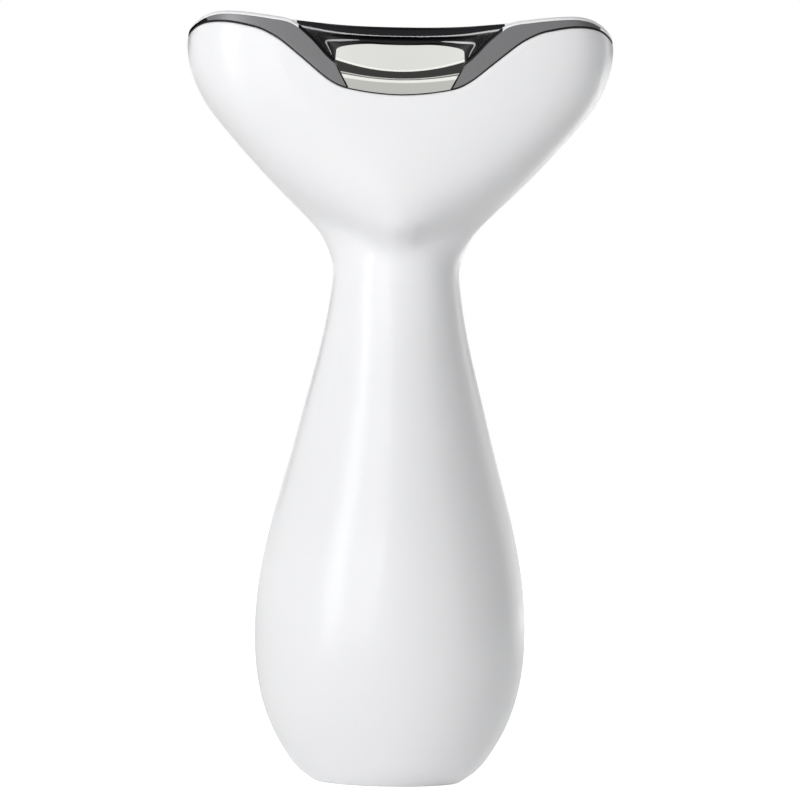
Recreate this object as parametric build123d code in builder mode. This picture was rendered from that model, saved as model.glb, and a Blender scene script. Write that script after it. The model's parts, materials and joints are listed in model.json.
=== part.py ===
from build123d import *

import os
from math import pi, radians, sqrt, tan

import numpy as np

# Facial toning device.  +Z runs up the handle, the front faces -Y, and the origin is
# the centre of the flat base that the device stands on.  All sizes are millimetres.

# ---------------------------------------------------------------- driving dimensions

# Body outline: a round handle that swells to the belly, narrows to the neck and flares
# into the two horns of the head.
BASE_RADIUS = 15.6
BELLY_RADIUS = 29.15
BELLY_HEIGHT = 32.0
NECK_RADIUS = 13.6
NECK_HEIGHT = 109.5
HORN_REACH = 45.85
HORN_HEIGHT = 158.5
BASE_DEPTH = 14.5
BELLY_DEPTH = 27.0
NECK_DEPTH = 12.9
FACE_DEPTH = 21.0
BACK_DEPTH = 12.2
HEAD_FULLNESS = 0.78
WALL = 2.2
FLOOR = 2.2

# Head: heights at the front plane and the back plane, from where the horns reach widest.
FRONT_PLANE = 22.0
BACK_PLANE = 12.0
SPOUT_HEIGHT = HORN_HEIGHT - 8.2
SHOULDER_HEIGHT = HORN_HEIGHT + 5.4
RIM_HEIGHT = HORN_HEIGHT + 5.2
SPOUT_EDGE_HEIGHT = HORN_HEIGHT - 12.05
SHOULDER_EDGE_HEIGHT = HORN_HEIGHT + 3.2
BEZEL_WIDTH = 2.4
BEZEL_BAND = 2.6
GASKET_THICKNESS = 0.35
SADDLE_DROP = 0.3
LIP_HEIGHT = 0.8
SADDLE_THICKNESS = 2.0
PLATE_HALF_WIDTH = 14.0
PLATE_FOOT_HALF_WIDTH = 10.9
PLATE_BACK = 2.7
PLATE_CORNER = 5.0
PLATE_THICKNESS = 0.8
PLATE_FOLD_RADIUS = 3.2
PLATE_RECESS = 0.2
PLATE_SHOULDER = HORN_HEIGHT - 4.6
SPOUT_GAP = 0.15
SADDLE_SETBACK = 4.2
INSULATOR_THICKNESS = 0.3
INSULATOR_RIM = 0.35
HEATER_THICKNESS = 0.25
HEATER_HALF_WIDTH = 11.0
HEATER_FRONT = -14.0
SENSOR_HEIGHT = 1.2
CARRIER_DROP = 2.4
CARRIER_THICKNESS = 1.8
CARRIER_SCREW_X = 27.0
CARRIER_SCREW_Z = HORN_HEIGHT - 7.5
CARRIER_LUG_FRONT = -9.0
CARRIER_LUG_THICKNESS = 1.8
CARRIER_LUG_WIDTH = 6.4
PIN_X = 33.0
PIN_Y = -5.0
PIN_RADIUS = 0.8
PIN_LENGTH = 6.0

# Base
BASE_CAP_RADIUS = 13.4
BASE_CAP_FLANGE = 1.4
BASE_FLANGE_RADIUS = 15.2
SOCKET_WIDTH = 8.94
SOCKET_HEIGHT = 3.2
SOCKET_LENGTH = 7.35
SOCKET_SHEET = 0.3
SOCKET_SET_BACK = 0.6
TONGUE_WIDTH = 6.7
TONGUE_THICKNESS = 0.7
CHARGE_BOARD_WIDTH = 18.0
CHARGE_BOARD_HEIGHT = 13.3
CHARGE_PART_SPREAD = 5.0
CHARGE_PART_DROP = 4.2
GUIDE_WIDTH = 2.2
GUIDE_HEIGHT = 8.5

# Handle inside
SPINE_FRONT = 3.2
SPINE_THICKNESS = 1.6
SPINE_WIDTH = 17.0
BATTERY_RADIUS = 9.1
BATTERY_LENGTH = 50.0
BATTERY_BOTTOM = 21.4
TAB_THICKNESS = 0.2
TAB_WIDTH = 5.0
SLEEVE_THICKNESS = 0.2
SLEEVE_SHORT = 0.5
CRADLE_THICKNESS = 1.3
CRADLE_LENGTH = 7.0
BULKHEAD_THICKNESS = 1.6
COLLAR_ABOVE_BUTTON = 10.0
BOARD_THICKNESS = 1.2
BOARD_WIDTH = 22.0
BOARD_LENGTH = 41.0
BOARD_BOTTOM = 28.0
STAND_OFF = 1.4
CONNECTOR_WIDTH = 17.0
CONNECTOR_DEPTH = 3.2
CONNECTOR_HEIGHT = 4.0
NOTCH_HALF_WIDTH = 8.6
NOTCH_DEPTH = 7.4
CONTROLLER_SIZE = 5.0
CHARGER_SIZE = 3.0
CHARGER_DROP = 10.0
CHIP_THICKNESS = 0.9
COIL_X = 7.0
COIL_RADIUS = 2.8
COIL_HEIGHT = 3.2
CAN_RADIUS = 2.0
CAN_HEIGHT = 3.6
CAPACITOR_COUNT = 4
CAPACITOR_PITCH = 3.0
CAPACITOR_WIDTH = 0.8
CAPACITOR_X = 5.8

# Power button on the back of the handle
BUTTON_HEIGHT = 88.0
BUTTON_RADIUS = 5.6
BUTTON_TRAVEL = 0.5
BUTTON_PROUD = 0.25
BUTTON_FLANGE_RADIUS = 6.3
BUTTON_FLANGE_THICKNESS = 0.8
FLANGE_CLEARANCE = 0.5
LIGHT_RING_WIDTH = 0.7
TRIM_RING_WIDTH = 1.3
TRIM_RING_DEPTH = 1.1
TRIM_RING_PROUD = 0.35
KEY_BOARD_THICKNESS = 0.8
KEY_BOARD_LENGTH = 22.6
KEY_BOARD_HEIGHT = 13.0
SWITCH_SIZE = 6.0
SWITCH_BODY_HEIGHT = 1.9
PLUNGER_RADIUS = 1.5
PLUNGER_PROUD = 0.8
SWITCH_FLOOR = 0.2
LIGHT_SIZE = 1.2
LIGHT_X = 5.0

# Vibration motor, lying across the head
MOTOR_HEIGHT = HORN_HEIGHT - 24.5
MOTOR_SETBACK = 4.0
MOTOR_RADIUS = 5.0
MOTOR_LENGTH = 12.0
MOTOR_WALL = 0.4
MOTOR_LEFT = -11.0
BOOT_THICKNESS = 0.5
CLAMP_THICKNESS = 1.5
CLAMP_LENGTH = 8.5
SHAFT_RADIUS = 0.75
WEIGHT_RADIUS = 4.2
WEIGHT_LENGTH = 5.5
WEIGHT_GAP = 1.0
ROTOR_RADIUS = 3.5
ROTOR_LENGTH = 7.0
ROTOR_SLOTS = 3
ROTOR_SLOT_RADIUS = 1.2
MAGNET_THICKNESS = 0.65
MOTOR_NOSE = 1.0
END_CAP_THICKNESS = 1.2
END_CAP_FLOOR = 0.4
TERMINAL_LENGTH = 1.4
TERMINAL_WIDTH = 1.0
TERMINAL_THICKNESS = 0.4
TERMINAL_SPREAD = 1.4

# Fits
FIT = 0.1
RUNNING_FIT = 0.05
SLIDE_FIT = 0.15
SHELL_CLEARANCE = 0.3
SEAT_GAP = 0.05

# Screws
SCREW_RADIUS = 0.9
SCREW_HEAD_RADIUS = 1.8
SCREW_HEAD_HEIGHT = 1.1
SCREW_BITE = 2.8
BOSS_RADIUS = 2.4

# Leads
LEAD_DIAMETER = 0.9
BEND_SHARE = 0.45

# ---------------------------------------------------------------- the body's outline

# Each run gives (share of the height, share of the change in size) from one landmark
# of the body to the next.
BASE_TO_BELLY = [(0, 0), (0.06, 0.215), (0.17, 0.445), (0.33, 0.67), (0.52, 0.85), (0.75, 0.965), (1, 1)]
BELLY_TO_NECK = [(0, 0), (0.115, 0.03), (0.245, 0.135), (0.38, 0.305), (0.51, 0.482), (0.64, 0.645),
                 (0.77, 0.81), (0.87, 0.915), (0.95, 0.978), (1, 1)]
NECK_TO_HORN = [(0, 0), (0.06, 0.012), (0.105, 0.037), (0.15, 0.069), (0.195, 0.118), (0.24, 0.182),
                (0.3, 0.276), (0.37, 0.385), (0.46, 0.517), (0.55, 0.642), (0.64, 0.762), (0.73, 0.868),
                (0.82, 0.943), (0.91, 0.986), (1, 1)]
NECK_TO_FACE = [(0, 0), (0.06, 0.0), (0.1, 0.09), (0.135, 0.3), (0.17, 0.53), (0.215, 0.69),
                (0.28, 0.82), (0.37, 0.9), (0.46, 0.945), (0.64, 0.99), (1, 1)]
NECK_TO_FULL = [(0, 0), (0.1, -0.2), (0.2, -0.25), (0.36, 0.25), (0.52, 0.7), (0.8, 1), (1, 1)]
ABOVE_HORN = 10.0
TOP_TAPER = 2.6
ROUND_HANDLE = 0.5523

# Spacing of the sections, and how far above the neck they stay close.
BAND = 3.5
FINE_BAND = 1.6
CHIN_RISE = 14.0

FRONT, BACK = -1, 1
SIDES = (-1, 1)


def follow(run, share):
    """Read a run at a share of its length, as a smooth curve through its points."""
    at = np.array([point[0] for point in run], float)
    value = np.array([point[1] for point in run], float)
    slope = np.gradient(value, at)
    i = int(np.clip(np.searchsorted(at, share) - 1, 0, len(at) - 2))
    span = at[i + 1] - at[i]
    t = (share - at[i]) / span
    blend = t * t * (3 - 2 * t)
    start = t * (1 - t) ** 2 * slope[i] * span
    end = t * t * (t - 1) * slope[i + 1] * span
    return float(value[i] + (value[i + 1] - value[i]) * blend + start + end)


def outline(z):
    """Half width, front depth, back depth and front squareness of the body at height z."""
    if z <= BELLY_HEIGHT:
        share = follow(BASE_TO_BELLY, z / BELLY_HEIGHT)
        width = BASE_RADIUS + (BELLY_RADIUS - BASE_RADIUS) * share
        depth = BASE_DEPTH + (BELLY_DEPTH - BASE_DEPTH) * share
        return width, depth, depth, ROUND_HANDLE
    if z <= NECK_HEIGHT:
        share = follow(BELLY_TO_NECK, (z - BELLY_HEIGHT) / (NECK_HEIGHT - BELLY_HEIGHT))
        width = BELLY_RADIUS + (NECK_RADIUS - BELLY_RADIUS) * share
        depth = BELLY_DEPTH + (NECK_DEPTH - BELLY_DEPTH) * share
        return width, depth, depth, ROUND_HANDLE
    up = (z - NECK_HEIGHT) / (HORN_HEIGHT - NECK_HEIGHT)
    if up <= 1:
        width = NECK_RADIUS + (HORN_REACH - NECK_RADIUS) * follow(NECK_TO_HORN, up)
        front = NECK_DEPTH + (FACE_DEPTH - NECK_DEPTH) * follow(NECK_TO_FACE, up)
        back = NECK_DEPTH + (BACK_DEPTH - NECK_DEPTH) * up
        full = ROUND_HANDLE + (HEAD_FULLNESS - ROUND_HANDLE) * follow(NECK_TO_FULL, up)
        return width, front, back, full
    over = ((z - HORN_HEIGHT) / ABOVE_HORN) ** 1.5
    return HORN_REACH - TOP_TAPER * over, FACE_DEPTH - TOP_TAPER * over / 2, BACK_DEPTH, HEAD_FULLNESS


def levels(bottom, top):
    """Heights of the sections between two ends, closer where the body turns faster."""
    spaced = [bottom]
    while spaced[-1] < top:
        z = spaced[-1]
        near_base = z < BELLY_HEIGHT / 2
        near_chin = NECK_HEIGHT < z < NECK_HEIGHT + CHIN_RISE
        spaced.append(z + (FINE_BAND if near_base or near_chin else BAND))
    return spaced[:-1] + [top] if top - spaced[-2] > FINE_BAND / 2 else spaced[:-2] + [top]


def quarter(share, width, depth, full):
    """A point of a section's quarter, a cubic curve from the side to the front or back."""
    far = (1 - share) ** 3 + 3 * share * (1 - share) ** 2
    x = width * (far + 3 * share**2 * (1 - share) * full)
    y = depth * (3 * share * (1 - share) ** 2 * full + 3 * share**2 * (1 - share) + share**3)
    return x, y


def body_half(side, grow, bottom, top, mode=Mode.ADD):
    """The front or back half of the body, grown outwards, in bands between two heights."""
    sections = []
    for z in levels(bottom, top):
        width, front, back, full = outline(z)
        x = width + grow
        y = side * ((front if side == FRONT else back) + grow)
        with BuildSketch(Plane.XY.offset(z)) as section:
            with BuildLine():
                Bezier((x, 0), (x, y * full), (x * full, y), (0, y))
                Bezier((0, y), (-x * full, y), (-x, y * full), (-x, 0))
                Line((-x, 0), (x, 0))
            make_face()
        sections.append(section.sketch)
    loft(sections, ruled=True, mode=mode)


def face_reach(x, z, grow=0.0):
    """Depth of the body's front at distance x from the middle, at height z."""
    width, front, _, full = outline(z)
    low, high = 0.0, 1.0
    for _ in range(30):
        middle = (low + high) / 2
        if quarter(middle, width + grow, front + grow, full)[0] > abs(x):
            low = middle
        else:
            high = middle
    return quarter(high, width + grow, front + grow, full)[1]


def cavity(z_low, z_high, clearance):
    """Half width and half depth that fit inside the handle between two heights."""
    low, high = outline(z_low), outline(z_high)
    return min(low[0], high[0]) - WALL - clearance, min(low[2], high[2]) - WALL - clearance


# ---------------------------------------------------------------- the head's surfaces

# Lines across the head as (distance from the middle, drop below the line's own top),
# drawn for horns that reach DRAWN_REACH from the middle.
DRAWN_REACH = 45.85
CREST_LINE = [(0, 13.6), (6, 13.1), (11, 11.8), (13, 11.0), (14.5, 10.0), (16, 8.6), (18.2, 6.1),
              (20.4, 4.0), (22.2, 2.5), (23.8, 1.75), (26.5, 1.2), (31, 0.55), (35, 0.1), (38.5, 0),
              (41, 0.5), (43, 1.4), (45, 2.7), (47.5, 4.4)]
RIM_LINE = [(0, 0), (11, -0.2), (20, -0.8), (28, -1.3), (35, -1.3), (40, -0.7), (43, 0.5), (45, 1.8),
            (47.5, 3.6)]
EDGE_LINE = [(0, 15.25), (4, 15.05), (7, 14.65), (10.6, 14.0), (12.3, 13.5), (13.7, 12.8), (16, 11.2),
             (18.4, 9.2), (20.8, 7.35), (23.5, 5.2), (25.9, 3.35), (27.5, 2.45), (30, 1.4), (32, 0.9),
             (36, 0.2), (40, 0), (42.8, 0.35), (44.3, 1.0), (47.5, 3.6)]


def drop(line, x):
    """Drop of a head line at x, for the head's own reach."""
    return follow(line, min(abs(x) * DRAWN_REACH / HORN_REACH, line[-1][0]))


def dip(line, x, top, low):
    """Height at x of a line that falls from its top to a low point in the middle."""
    return top - drop(line, x) * (top - low) / line[0][1]


def crest(x):
    return dip(CREST_LINE, x, SHOULDER_HEIGHT, SPOUT_HEIGHT)


def rim(x):
    return RIM_HEIGHT - drop(RIM_LINE, x)


def edge_front(x):
    return dip(EDGE_LINE, x, SHOULDER_EDGE_HEIGHT, SPOUT_EDGE_HEIGHT)


def edge_back(x):
    return rim(x) - BEZEL_BAND


def edge_at(x):
    return edge_front(x), edge_back(x)


def top_at(x):
    return crest(x), rim(x)


def saddle_at(x):
    return crest(x) - SADDLE_DROP, rim(x) - LIP_HEIGHT


def lowered(surface, drop):
    return lambda x: (surface(x)[0] - drop, surface(x)[1] - drop)


def height_on(surface, x, y):
    """Height of a head surface over the point (x, y)."""
    front, back = surface(x)
    return front + (back - front) * (y + FRONT_PLANE) / (FRONT_PLANE + BACK_PLANE)


def level(z):
    return lambda x: (z, z)


HEAD_TOP = RIM_HEIGHT + 10
HEAD_BOTTOM = SPOUT_EDGE_HEIGHT - 8
SLAB_MARGIN = 2.0
HEAD_STATIONS = [0, 4, 7.5, 11, 13, 14.5, 16, 18.2, 20.4, 22.2, 23.8, 26.5, 29, 32, 35.5, 39, 42, 44.5,
                 47.5]


def slab(lower, upper, half_width=None, mode=Mode.ADD):
    """Loft the space between two head surfaces, across the head."""
    stations = [x * HORN_REACH / DRAWN_REACH for x in HEAD_STATIONS]
    if half_width is not None:
        stations = [x for x in stations if x < half_width - 0.5] + [half_width]
    sections = []
    for x in [-s for s in stations[:0:-1]] + stations:
        ends = (-FRONT_PLANE - SLAB_MARGIN, BACK_PLANE + SLAB_MARGIN)
        corners = [(y, height_on(lower, x, y)) for y in ends]
        corners += [(y, height_on(upper, x, y)) for y in reversed(ends)]
        with BuildSketch(Plane.YZ.offset(x)) as section:
            with BuildLine():
                Polyline(*corners, close=True)
            make_face()
        sections.append(section.sketch)
    loft(sections, ruled=True, mode=mode)


def head_core(grow):
    """The head's outer form, grown outwards by a distance, as one solid."""
    with BuildPart(mode=Mode.PRIVATE) as core:
        body_half(FRONT, grow, HEAD_BOTTOM, HORN_HEIGHT + ABOVE_HORN)
        body_half(BACK, grow, HEAD_BOTTOM, HORN_HEIGHT + ABOVE_HORN)
    return core.part


def spout_front(gap):
    """The contact plate's outline seen from the front, widened by a gap, cut along Y."""
    widening = (PLATE_HALF_WIDTH - PLATE_FOOT_HALF_WIDTH) / (PLATE_SHOULDER - SPOUT_EDGE_HEIGHT)
    foot_height = SPOUT_EDGE_HEIGHT - 4
    foot = PLATE_FOOT_HALF_WIDTH - 4 * widening + gap
    side = PLATE_HALF_WIDTH + gap
    with BuildPart(mode=Mode.PRIVATE) as shape:
        with BuildSketch(Plane.XZ.offset(-BACK_PLANE)):
            with BuildLine():
                Polyline((-foot, foot_height), (foot, foot_height), (side, PLATE_SHOULDER),
                         (side, HEAD_TOP), (-side, HEAD_TOP), (-side, PLATE_SHOULDER), close=True)
            make_face()
        extrude(amount=FRONT_PLANE + BACK_PLANE + SLAB_MARGIN)
    return shape.part


def spout_plan(gap, front):
    """The contact plate's outline seen from above, widened by a gap, cut along Z."""
    side, back = PLATE_HALF_WIDTH + gap, PLATE_BACK + gap
    with BuildPart(mode=Mode.PRIVATE) as shape:
        with BuildSketch(Plane.XY.offset(HEAD_BOTTOM)):
            with BuildLine():
                FilletPolyline((-side, front), (side, front), (side, back), (-side, back),
                               radius=[0, 0, PLATE_CORNER + gap, PLATE_CORNER + gap], close=True)
            make_face()
        extrude(amount=HEAD_TOP - HEAD_BOTTOM)
    return shape.part


# ---------------------------------------------------------------- helpers

RISING = (Align.CENTER, Align.CENTER, Align.MIN)


def rod(plane, radius, length, mode=Mode.ADD):
    """A round bar that rises from a plane."""
    with Locations(plane.location):
        Cylinder(radius, length, align=RISING, mode=mode)


def block(x, y, z, mode=Mode.ADD):
    """A block between two x, two y and two z values."""
    middle = ((x[0] + x[1]) / 2, (y[0] + y[1]) / 2, (z[0] + z[1]) / 2)
    with Locations(middle):
        Box(x[1] - x[0], y[1] - y[0], z[1] - z[0], mode=mode)


def shifted(plane, x, y, z):
    """A plane moved along its own axes."""
    return Plane(plane.location * Location((x, y, z)))


def on_shaft(x):
    """A plane facing +X with its centre on the motor's axis."""
    return Plane(origin=(x, -MOTOR_SETBACK, MOTOR_HEIGHT), x_dir=(0, 1, 0), z_dir=(1, 0, 0))


def facing_y(x, y, z):
    """A plane facing +Y with its centre at a point."""
    return Plane(origin=(x, y, z), x_dir=(1, 0, 0), z_dir=(0, 1, 0))


def lead(name, points):
    """A wire along a route: straight runs joined by arcs as large as the runs allow."""
    route = [Vector(*point) for point in points]
    radii = []
    for before, at, after in zip(route, route[1:], route[2:]):
        turn = radians((at - before).get_angle(after - at))
        run = min((at - before).length, (after - at).length)
        radii.append(BEND_SHARE * run / tan(turn / 2))
    with BuildLine(mode=Mode.PRIVATE) as path:
        FilletPolyline(*route, radius=radii)
    wire = path.wire()
    with BuildSketch(Plane(wire @ 0, z_dir=wire % 0), mode=Mode.PRIVATE) as section:
        Circle(LEAD_DIAMETER / 2)
    swept = sweep(section.sketch, path=wire)
    full = wire.length * pi * LEAD_DIAMETER**2 / 4
    tightest = min(radii)
    print(f"{name}: {wire.length:.1f} long, tightest bend {tightest:.1f}, volume {swept.volume / full:.3f}")


def finish(builder, name):
    """Label a finished piece and write its STEP file."""
    builder.part.label = name
    export_step(builder.part, f"parts/{name}.step")


os.makedirs("parts", exist_ok=True)

# ---------------------------------------------------------------- places worked out

back_depth = outline(BUTTON_HEIGHT)[2]
back_slope = (outline(BUTTON_HEIGHT + 1)[2] - outline(BUTTON_HEIGHT - 1)[2]) / 2
BUTTON_PLANE = Plane(origin=(0, back_depth, BUTTON_HEIGHT), x_dir=(1, 0, 0), z_dir=(0, 1, -back_slope))
BUTTON_BAND = (BUTTON_HEIGHT - 16, BUTTON_HEIGHT + 16)
LIGHT_RING_BORE = BUTTON_RADIUS + SLIDE_FIT
LIGHT_RING_RADIUS = LIGHT_RING_BORE + LIGHT_RING_WIDTH
SHELL_HOLE = LIGHT_RING_RADIUS + RUNNING_FIT
TRIM_RING_RADIUS = SHELL_HOLE + TRIM_RING_WIDTH
inner_width, inner_depth = cavity(BUTTON_HEIGHT, BUTTON_HEIGHT, 0)


def wall_sag(x):
    """How far the shell's inner wall falls away from the button's plane at x."""
    return inner_depth * (1 - sqrt(1 - (x / inner_width) ** 2))


FLANGE_TOP = -(WALL + wall_sag(BUTTON_FLANGE_RADIUS) + FLANGE_CLEARANCE)
FLANGE_BOTTOM = FLANGE_TOP - BUTTON_FLANGE_THICKNESS
PLUNGER_TOP = FLANGE_BOTTOM - SEAT_GAP
SWITCH_TOP = PLUNGER_TOP - PLUNGER_PROUD
KEY_BOARD_FACE = SWITCH_TOP - SWITCH_BODY_HEIGHT
KEY_BOARD_BACK = KEY_BOARD_FACE - KEY_BOARD_THICKNESS
KEY_SCREW_X = KEY_BOARD_LENGTH / 2 - BOSS_RADIUS
KEY_BOSS_LENGTH = -KEY_BOARD_FACE - 0.8 * WALL - wall_sag(KEY_SCREW_X)

CHARGE_BOARD_FRONT = SOCKET_HEIGHT / 2 + SEAT_GAP
CHARGE_BOARD_BACK = CHARGE_BOARD_FRONT + BOARD_THICKNESS
CHARGE_BOARD_BOTTOM = FLOOR + BASE_CAP_FLANGE + SEAT_GAP
CHARGE_BOARD_TOP = CHARGE_BOARD_BOTTOM + CHARGE_BOARD_HEIGHT

SPINE_BACK = SPINE_FRONT + SPINE_THICKNESS
BATTERY_Y = SPINE_FRONT - SHELL_CLEARANCE - SLEEVE_THICKNESS - BATTERY_RADIUS
BATTERY_TOP = BATTERY_BOTTOM + BATTERY_LENGTH
TAB_END = BATTERY_RADIUS + 1
SLEEVE_RADIUS = BATTERY_RADIUS + SEAT_GAP + SLEEVE_THICKNESS
FOOT_TOP = BATTERY_BOTTOM - TAB_THICKNESS - SEAT_GAP
FOOT_BOTTOM = FOOT_TOP - BULKHEAD_THICKNESS
BULKHEAD_BOTTOM = BATTERY_TOP + TAB_THICKNESS + SEAT_GAP
BULKHEAD_TOP = BULKHEAD_BOTTOM + BULKHEAD_THICKNESS
COLLAR_HEIGHT = BUTTON_HEIGHT + COLLAR_ABOVE_BUTTON
COLLAR_TOP = COLLAR_HEIGHT + BULKHEAD_THICKNESS
BOARD_FRONT = SPINE_BACK + STAND_OFF
BOARD_BACK = BOARD_FRONT + BOARD_THICKNESS
BOARD_TOP = BOARD_BOTTOM + BOARD_LENGTH
POST_X = SPINE_WIDTH / 2 - BOSS_RADIUS
POST_HEIGHTS = (BOARD_BOTTOM + 2 * BOSS_RADIUS, BOARD_TOP - 4 * BOSS_RADIUS)
CONNECTOR_TOP = BOARD_TOP - 1
CHIP_ROW = (BOARD_BOTTOM + BOARD_TOP) / 2
PLUG_BOTTOM = CHIP_ROW + 2
PLUG_TOP = PLUG_BOTTOM + CONNECTOR_HEIGHT
LEAD_LANE = BOARD_BACK + CONNECTOR_DEPTH / 2
BATTERY_PLUG_X = (BOARD_WIDTH - CONNECTOR_HEIGHT) / 2 - 0.5

MOTOR_RIGHT = MOTOR_LEFT + MOTOR_LENGTH
MOTOR_Y = -MOTOR_SETBACK
TERMINAL_LEFT = MOTOR_LEFT - TERMINAL_LENGTH
BOOT_RADIUS = MOTOR_RADIUS + SEAT_GAP + BOOT_THICKNESS
CLAMP_BORE = BOOT_RADIUS + SEAT_GAP
CLAMP_RADIUS = CLAMP_BORE + CLAMP_THICKNESS
CLAMP_RIGHT = MOTOR_RIGHT - 1.5
CLAMP_LEFT = CLAMP_RIGHT - CLAMP_LENGTH

# ---------------------------------------------------------------- housing

with BuildPart() as front_shell:
    body_half(FRONT, 0, 0, HORN_HEIGHT + ABOVE_HORN)
    body_half(FRONT, -WALL, FLOOR, HORN_HEIGHT + ABOVE_HORN, mode=Mode.SUBTRACT)
    slab(edge_at, level(HEAD_TOP), mode=Mode.SUBTRACT)
    rod(Plane.XY, BASE_CAP_RADIUS + FIT, FLOOR, mode=Mode.SUBTRACT)
    boss_start = -face_reach(CARRIER_SCREW_X, CARRIER_SCREW_Z) + WALL / 2
    for side in SIDES:
        boss = facing_y(side * CARRIER_SCREW_X, boss_start, CARRIER_SCREW_Z)
        rod(boss, BOSS_RADIUS, CARRIER_LUG_FRONT - boss_start)
        rod(boss.offset(WALL), SCREW_RADIUS + RUNNING_FIT, CARRIER_LUG_FRONT - boss_start, Mode.SUBTRACT)
finish(front_shell, "front_shell")

with BuildPart() as trim_seat:
    rod(BUTTON_PLANE.offset(-2 * WALL), TRIM_RING_RADIUS + RUNNING_FIT, 4 * WALL)
    body_half(BACK, -TRIM_RING_DEPTH, *BUTTON_BAND, mode=Mode.SUBTRACT)

with BuildPart() as rear_shell:
    body_half(BACK, 0, 0, HORN_HEIGHT + ABOVE_HORN)
    body_half(BACK, -WALL, FLOOR, HORN_HEIGHT + ABOVE_HORN, mode=Mode.SUBTRACT)
    slab(edge_at, level(HEAD_TOP), mode=Mode.SUBTRACT)
    rod(Plane.XY, BASE_CAP_RADIUS + FIT, FLOOR, mode=Mode.SUBTRACT)
    for side in SIDES:
        boss = shifted(BUTTON_PLANE, side * KEY_SCREW_X, 0, KEY_BOARD_FACE)
        rod(boss, BOSS_RADIUS, KEY_BOSS_LENGTH)
        rod(boss, SCREW_RADIUS + RUNNING_FIT, SCREW_BITE, Mode.SUBTRACT)
    rod(BUTTON_PLANE.offset(FLANGE_TOP), SHELL_HOLE, -2 * FLANGE_TOP, Mode.SUBTRACT)
    add(trim_seat.part, mode=Mode.SUBTRACT)
finish(rear_shell, "rear_shell")

with BuildPart() as base_cap:
    rod(Plane.XY, BASE_CAP_RADIUS, FLOOR)
    rod(Plane.XY.offset(FLOOR), BASE_FLANGE_RADIUS, BASE_CAP_FLANGE)
    for side in SIDES:
        inner = CHARGE_BOARD_WIDTH / 2 - 1
        outer = CHARGE_BOARD_WIDTH / 2 + GUIDE_WIDTH - 1
        block(sorted((side * inner, side * outer)), (CHARGE_BOARD_FRONT - 1, CHARGE_BOARD_BACK + 1),
              (FLOOR, CHARGE_BOARD_BOTTOM + GUIDE_HEIGHT))
    half_slot = CHARGE_BOARD_WIDTH / 2 + FIT
    block((-half_slot, half_slot), (CHARGE_BOARD_FRONT - SEAT_GAP, CHARGE_BOARD_BACK + SEAT_GAP),
          (FLOOR + BASE_CAP_FLANGE, HEAD_BOTTOM), Mode.SUBTRACT)
    with BuildSketch(Plane.XY):
        SlotOverall(SOCKET_WIDTH + 2 * FIT, SOCKET_HEIGHT + 2 * SEAT_GAP)
    extrude(amount=FLOOR + BASE_CAP_FLANGE, mode=Mode.SUBTRACT)
finish(base_cap, "base_cap")

# ---------------------------------------------------------------- charging socket

with BuildPart() as usb_socket_shell:
    with BuildSketch(Plane.XY.offset(SOCKET_SET_BACK)):
        SlotOverall(SOCKET_WIDTH, SOCKET_HEIGHT)
    extrude(amount=SOCKET_LENGTH)
    with BuildSketch(Plane.XY.offset(SOCKET_SET_BACK)):
        SlotOverall(SOCKET_WIDTH - 2 * SOCKET_SHEET, SOCKET_HEIGHT - 2 * SOCKET_SHEET)
    extrude(amount=SOCKET_LENGTH - SOCKET_SHEET, mode=Mode.SUBTRACT)
finish(usb_socket_shell, "usb_socket_shell")

SOCKET_BACK = SOCKET_SET_BACK + SOCKET_LENGTH - SOCKET_SHEET
with BuildPart() as usb_tongue:
    with BuildSketch(Plane.XY.offset(SOCKET_BACK - SOCKET_LENGTH / 4)):
        SlotOverall(SOCKET_WIDTH - 2 * SOCKET_SHEET - FIT, SOCKET_HEIGHT - 2 * SOCKET_SHEET - FIT)
    extrude(amount=SOCKET_LENGTH / 4)
    block((-TONGUE_WIDTH / 2, TONGUE_WIDTH / 2), (-TONGUE_THICKNESS / 2, TONGUE_THICKNESS / 2),
          (SOCKET_SET_BACK + 1, SOCKET_BACK - SOCKET_LENGTH / 4))
finish(usb_tongue, "usb_tongue")

with BuildPart() as charge_board:
    block((-CHARGE_BOARD_WIDTH / 2, CHARGE_BOARD_WIDTH / 2), (CHARGE_BOARD_FRONT, CHARGE_BOARD_BACK),
          (CHARGE_BOARD_BOTTOM, CHARGE_BOARD_TOP))
finish(charge_board, "charge_board")

with BuildPart() as charge_parts:
    for place, size in ((-1, 2.0), (0, 3.0), (1, 2.0)):
        with Locations((place * CHARGE_PART_SPREAD, CHARGE_BOARD_FRONT - CHIP_THICKNESS / 2,
                        CHARGE_BOARD_TOP - CHARGE_PART_DROP)):
            Box(size, CHIP_THICKNESS, size)
finish(charge_parts, "charge_parts")

# ---------------------------------------------------------------- chassis and power

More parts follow.
